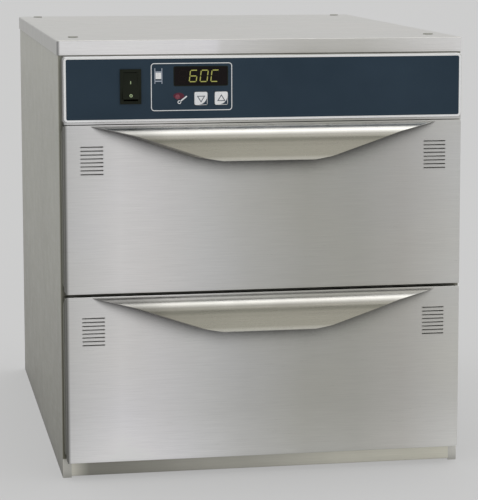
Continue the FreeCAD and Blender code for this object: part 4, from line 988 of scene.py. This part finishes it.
def segmentLoops():
    # the seven bars of one leaning digit, from its lower left corner: a on top, then clockwise, g across
    width, height, half = digitShape["width"], digitShape["height"], digitShape["stroke"] / 2
    gap, mid = digitShape["gap"] + half, height / 2

    def bar(start, end):
        along = Vector((end[0] - start[0], end[1] - start[1])).normalized()
        side = Vector((-along.y, along.x)) * half
        a, b = Vector(start) + along * gap, Vector(end) - along * gap
        tip = along * half
        return [a - tip, a - side, b - side, b + tip, b + side, a + side]

    corners = {"tl": (0, height), "tr": (width, height), "ml": (0, mid), "mr": (width, mid), "bl": (0, 0),
               "br": (width, 0)}
    ends = {"a": ("tl", "tr"), "b": ("tr", "mr"), "c": ("mr", "br"), "d": ("bl", "br"), "e": ("ml", "bl"),
            "f": ("tl", "ml"), "g": ("ml", "mr")}
    loops = {}
    for name, (start, end) in ends.items():
        loop = bar(corners[start], corners[end])
        loops[name] = [(point.x + digitShape["lean"] * point.y, point.y) for point in loop]
    return loops


def makeDisplay():
    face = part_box("display_window")[0].y
    segments = segmentLoops()
    lit, unlit = [], []
    for x, shown in zip(digitShape["x"], digitShape["lit"]):
        for name, loop in segments.items():
            moved = [(px + x, pz + digitShape["low"]) for px, pz in loop]
            (lit if name in shown else unlit).append(flatPrint("segment", moved, face, digitShape["rise"]))
    printed("lit_segments", lit, "segment")
    printed("unlit_segments", unlit, "ghost")
    edge = outlinePrint("edge", growingBox(*sidesOf("display_window"), windowShape["corner"]),
                        windowShape["spread"], windowShape["line"], face, windowShape["rise"])
    printed("window_edge", [edge], "black")
    print("display made")


keyShape = {
    "corner": 1.6, "leastCorner": 0.4,
    "edge": 0.7,  # depth of the rounded edge; its profile gives an inset and a share of that depth
    "profile": ((0.0, 1.0), (0.06, 0.45), (0.22, 0.2), (0.45, 0.07), (0.7, 0.02), (2.2, 0.0), (4.6, 0.0)),
    "mark": 4.6, "markLine": 0.8, "markSlope": 1.9, "markStretch": 1.08, "markDrop": 0.5, "markRise": 0.05,
    "cut": 8.6, "cutInset": 0.6, "cutRise": 0.04, "cutSteps": 10,
}


def makeKeys():
    for name, points in (("up_button", 1), ("down_button", -1)):
        front, back = (corner.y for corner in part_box(name))
        x0, x1, z0, z1 = sidesOf(name)
        middleX, middleZ = (x0 + x1) / 2, (z0 + z1) / 2

        def shrunk(inset):
            return inMetres(roundedLoop((x0 + inset, z0 + inset), (x1 - inset, z1 - inset),
                                        max(keyShape["corner"] - inset, keyShape["leastCorner"])))

        loops = [shrunk(0.0)] + [shrunk(inset) for inset, _ in keyShape["profile"]]
        depths = [back] + [front + share * keyShape["edge"] * mm for _, share in keyShape["profile"]]
        cap = sharpEdges(newObject(f"{name}_cap", slab(name, loops, depths)))
        settle(cap, name, finishes["key"])
        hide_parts(name)

        def arrow(grow):
            reach = keyShape["mark"] + grow * keyShape["markSlope"]
            return [(middleX + reach * math.cos(angle) * keyShape["markStretch"],
                     middleZ + points * (reach * math.sin(angle) - keyShape["markDrop"]))
                    for angle in (math.radians(90), math.radians(210), math.radians(330))]

        # a dark print rounds off the lower right corner
        cut, right, low = keyShape["cut"], x1 - keyShape["cutInset"], z0 + keyShape["cutInset"]
        turns = [math.pi / 2 * k / keyShape["cutSteps"] for k in range(keyShape["cutSteps"], -1, -1)]
        corner = [(right - cut + cut * math.sin(turn), low + cut - cut * math.cos(turn)) for turn in turns]
        corner.append((right, low))
        printed(f"{name}_corner", [flatPrint("corner", corner, front, keyShape["cutRise"])], "overlay",
                name)
        printed(f"{name}_arrow", [outlinePrint("arrow", arrow, 0.0, keyShape["markLine"], front,
                                               keyShape["markRise"])], "keyMark", name)
    print("keys made")


rockerShape = {
    "tilt": 8.0, "half": 13.4, "crest": 5.9, "valley": 4.1, "back": -1.5, "heel": (2.5, 4.0),
    "pivotY": -274.8, "pivotZ": 408.0, "edge": 0.5,
    "rounding": ((0.0, 1.0), (0.12, 0.45), (0.3, 0.15), (0.5, 0.0)),  # from a side, share of the edge
    "faceSteps": 16, "sharp": 40,
    "bar": (3.6, 0.4, 1.5),  # height on the face, half width and half height
    "ring": (-9.8, 1.6, 0.85),  # height on the face, outer and inner radius
    "markRise": 0.06,
}


def rockerPoint(depth, height):
    # from the rocker's own square frame to its resting tilt
    c, s = (f(math.radians(rockerShape["tilt"])) for f in (math.cos, math.sin))
    return (rockerShape["pivotY"] + depth * c + height * s) * mm, \
        (rockerShape["pivotZ"] - depth * s + height * c) * mm


def rockerFace(height):
    # the face is a hollow curve from crest to crest
    bow = (rockerShape["crest"] - rockerShape["valley"]) * (height / rockerShape["half"]) ** 2
    return -rockerShape["valley"] - bow


def rockerSection(inset):
    half = rockerShape["half"] - inset
    steps = rockerShape["faceSteps"]
    heights = [-half + 2 * half * k / steps for k in range(steps + 1)]
    points = [(rockerFace(height) + inset, height) for height in heights]
    heelDepth, heelHalf = rockerShape["heel"]
    points += [(rockerShape["back"], half), (heelDepth - inset, heelHalf - inset),
               (heelDepth - inset, inset - heelHalf), (rockerShape["back"], -half)]
    return [rockerPoint(*point) for point in points]


def makeRocker():
    low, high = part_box("power_rocker")
    ends = [(x * mm, share * rockerShape["edge"]) for x, share in rockerShape["rounding"]]
    stations = [(low.x + x, inset) for x, inset in ends] + [(high.x - x, inset) for x, inset in ends[::-1]]
    rings = [[(x, y, z) for y, z in rockerSection(inset)] for x, inset in stations]
    mesh = loft("rocker", rings, (True, True))
    cap = sharpEdges(newObject("rocker_cap", mesh), rockerShape["sharp"])
    settle(cap, "power_rocker", finishes["black"])
    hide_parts("power_rocker")
    middle = (low.x + high.x) / 2

    def onFace(loop, centre, lift):
        placed = [(x, rockerPoint(rockerFace(centre + z) - lift, centre + z)) for x, z in loop]
        return [(middle + x * mm, y, up) for x, (y, up) in placed]

    rise = rockerShape["markRise"]
    height, wide, tall = rockerShape["bar"]
    bar = boxLoop((-wide, -tall), (wide, tall))
    marks = [loft("mark", [onFace(bar, height, lift) for lift in (0.0, rise)], (True, True))]
    height, *radii = rockerShape["ring"]
    outer, inner = (circleLoop((0, 0), radius) for radius in radii)
    rings = ((outer, 0.0), (outer, rise), (inner, rise), (inner, 0.0))
    marks.append(loft("mark", [onFace(loop, height, lift) for loop, lift in rings], closeRings=True))
    printed("rocker_marks", marks, "rockerMark", "power_rocker")
    print("rocker made")


# food pans: tapered, round-cornered, with a rolled rim

panShape = {"rim": 12.5, "rimRoll": 2.2, "lip": 3.0, "draft": 2.5, "corner": 45.0, "leastCorner": 4.0,
            "cornerSteps": 14, "foot": 18.0, "sheet": 0.8, "sharp": 60}


def panLoop(low, high, inset, z):
    lowCorner, highCorner = (low.x + inset, low.y + inset), (high.x - inset, high.y - inset)
    radius = max((panShape["corner"] + panShape["rim"]) * mm - inset, panShape["leastCorner"] * mm)
    return [(x, y, z) for x, y in roundedLoop(lowCorner, highCorner, radius, panShape["cornerSteps"])]


def makePans():
    rim, roll, lip, foot = (panShape[key] * mm for key in ("rim", "rimRoll", "lip", "foot"))
    lean = math.tan(math.radians(panShape["draft"]))
    for level in levels:
        low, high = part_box(f"{level}_food_pan")
        top, wallTop, wallEnd = high.z, high.z - lip, low.z + foot
        inset = rim + (top - wallEnd) * lean
        # insets and heights of the rolled edge, the flat rim's lip, the wall, the round foot and the floor
        edge = [math.radians(angle) for angle in range(-90, 91, 20)]
        rings = [(roll * (1 - math.cos(turn)), top - roll + roll * math.sin(turn)) for turn in edge]
        over = [math.radians(angle) for angle in (0, 30, 60, 90)]
        rings += [(rim - lip + lip * math.sin(turn), top - lip * (1 - math.cos(turn))) for turn in over]
        heights = [wallTop + (wallEnd - wallTop) * share for share in (0.25, 0.5, 0.75, 1.0)]
        rings += [(rim + (top - z) * lean, z) for z in heights]
        under = [math.radians(angle) for angle in range(15, 91, 15)]
        rings += [(inset + foot * (1 - math.cos(turn)), wallEnd - foot * math.sin(turn)) for turn in under]
        mesh = loft(f"{level}Pan", [panLoop(low, high, *ring) for ring in rings], (False, True))
        pan = newObject(f"{level}_serving_pan", mesh)
        wall = pan.modifiers.new("wall", "SOLIDIFY")
        wall.thickness = panShape["sheet"] * mm
        wall.offset = -1.0
        settle(pan, f"{level}_drawer", finishes["pan"])
        sharpEdges(pan, panShape["sharp"])
        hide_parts(f"{level}_food_pan")
    print("pans made")


# stage, light and camera

stageSettings = {
    "floorHalf": 60.0,
    "floorColour": (0.6, 0.6, 0.6),
    "floorSpeck": 300.0,
    "floorSpeckGain": 1.01,
    "position": (-0.3953, -2.4362, 0.5739),
    "pitch": -0.127,
    "roll": 0.0235,
    "yaw": -0.1934,
    "lens": 154.17,
    "sensor": 36.0,
    "shift": (-0.1, -0.1),
    "farthest": 200.0,
    "sunToward": (-0.2, 0.05, -1.0),
    "sunStrength": 0.62,
    "sunAngle": 60.0,
    "skyStrength": 1.13,
    "skyTurn": (-0.3, 0.1),
    "frontSky": ((0.0, 0.76), (0.2, (0.6, 0.6, 0.59)), (0.93, (0.43, 0.43, 0.41)), (0.985, 0.8),
                 (1.0, 1.0)),
    "backSky": ((0.0, 0.66), (0.35, 0.72), (0.75, 0.95), (1.0, 1.0)),
    "shadowSoftening": 0.6,
    "backdrop": (0.604, 0.604, 0.604),
}


def makeCamera():
    data = bpy.data.cameras.new("camera")
    data.lens = stageSettings["lens"]
    data.sensor_width = stageSettings["sensor"]
    data.shift_x, data.shift_y = stageSettings["shift"]
    data.clip_end = stageSettings["farthest"]
    camera = newObject("camera", data)
    turn = (Matrix.Rotation(stageSettings["roll"], 3, "Y") @ Matrix.Rotation(stageSettings["pitch"], 3, "X")
            @ Matrix.Rotation(stageSettings["yaw"], 3, "Z"))
    columns = Matrix((turn.col[0], turn.col[2], -turn.col[1])).transposed().to_4x4()
    camera.matrix_world = Matrix.Translation(stageSettings["position"]) @ columns
    bpy.context.scene.camera = camera


def makeFloor():
    half = stageSettings["floorHalf"]
    corners = [(-half, -half, 0), (half, -half, 0), (half, half, 0), (-half, half, 0)]
    floor = newObject("floor", meshFrom("floor", corners, [(0, 1, 2, 3)], False))
    material, tree, paper = emptyMaterial("floorPaper")
    speck = grainAt(tree, (stageSettings["floorSpeck"],) * 3, 3.0, 0.5)
    colour = stageSettings["floorColour"]
    lighter = scaled(colour, stageSettings["floorSpeckGain"])
    give(tree, paper, Base_Color=mixOf(tree, speck, colour, lighter), Roughness=0.9, Specular_IOR_Level=0.0)
    # seen straight on, in metal or through glass, the paper is partly backlit, which softens the shadow
    glow = step(tree, "ShaderNodeEmission", Color=stageSettings["backdrop"])
    path = step(tree, "ShaderNodeLightPath").outputs
    seen = reckon(tree, "MAXIMUM", path["Is Camera Ray"], path["Is Glossy Ray"])
    seen = reckon(tree, "MAXIMUM", seen, path["Is Transmission Ray"])
    share = rangeOf(tree, seen, 0.0, stageSettings["shadowSoftening"])
    blend = step(tree, "ShaderNodeMixShader", share, paper, glow)
    give(tree, tree.nodes["Material Output"], Surface=blend)
    floor.data.materials.append(material)


def makeWorld():
    world = bpy.data.worlds.new("studio")
    bpy.context.scene.world = world
    world.use_nodes = True
    tree = world.node_tree
    facing = parted(tree, step(tree, "ShaderNodeTexCoord").outputs["Generated"])
    ahead = rampOf(tree, facing["Z"], stageSettings["frontSky"])
    behind = rampOf(tree, facing["Z"], stageSettings["backSky"])
    side = rangeOf(tree, facing["Y"], 1.0, 0.0, *stageSettings["skyTurn"])
    give(tree, tree.nodes["Background"], Color=mixOf(tree, side, behind, ahead),
         Strength=stageSettings["skyStrength"])


def makeSun():
    data = bpy.data.lights.new("keySun", "SUN")
    data.energy = stageSettings["sunStrength"]
    data.angle = math.radians(stageSettings["sunAngle"])
    lamp = newObject("keySun", data)
    lamp.rotation_euler = Vector(stageSettings["sunToward"]).to_track_quat("-Z", "Y").to_euler()


makeCamera()
makeFloor()
makeWorld()
makeSun()
bpy.context.scene.view_settings.view_transform = "Standard"
print("stage ready")

dressNodes()
makeHandles()
makeHems()
makeGaskets()
makeVentLips()
makeHeads()
makeLouvres()
makeOverlayPrint()
makeDisplay()
makeKeys()
makeRocker()
makePans()
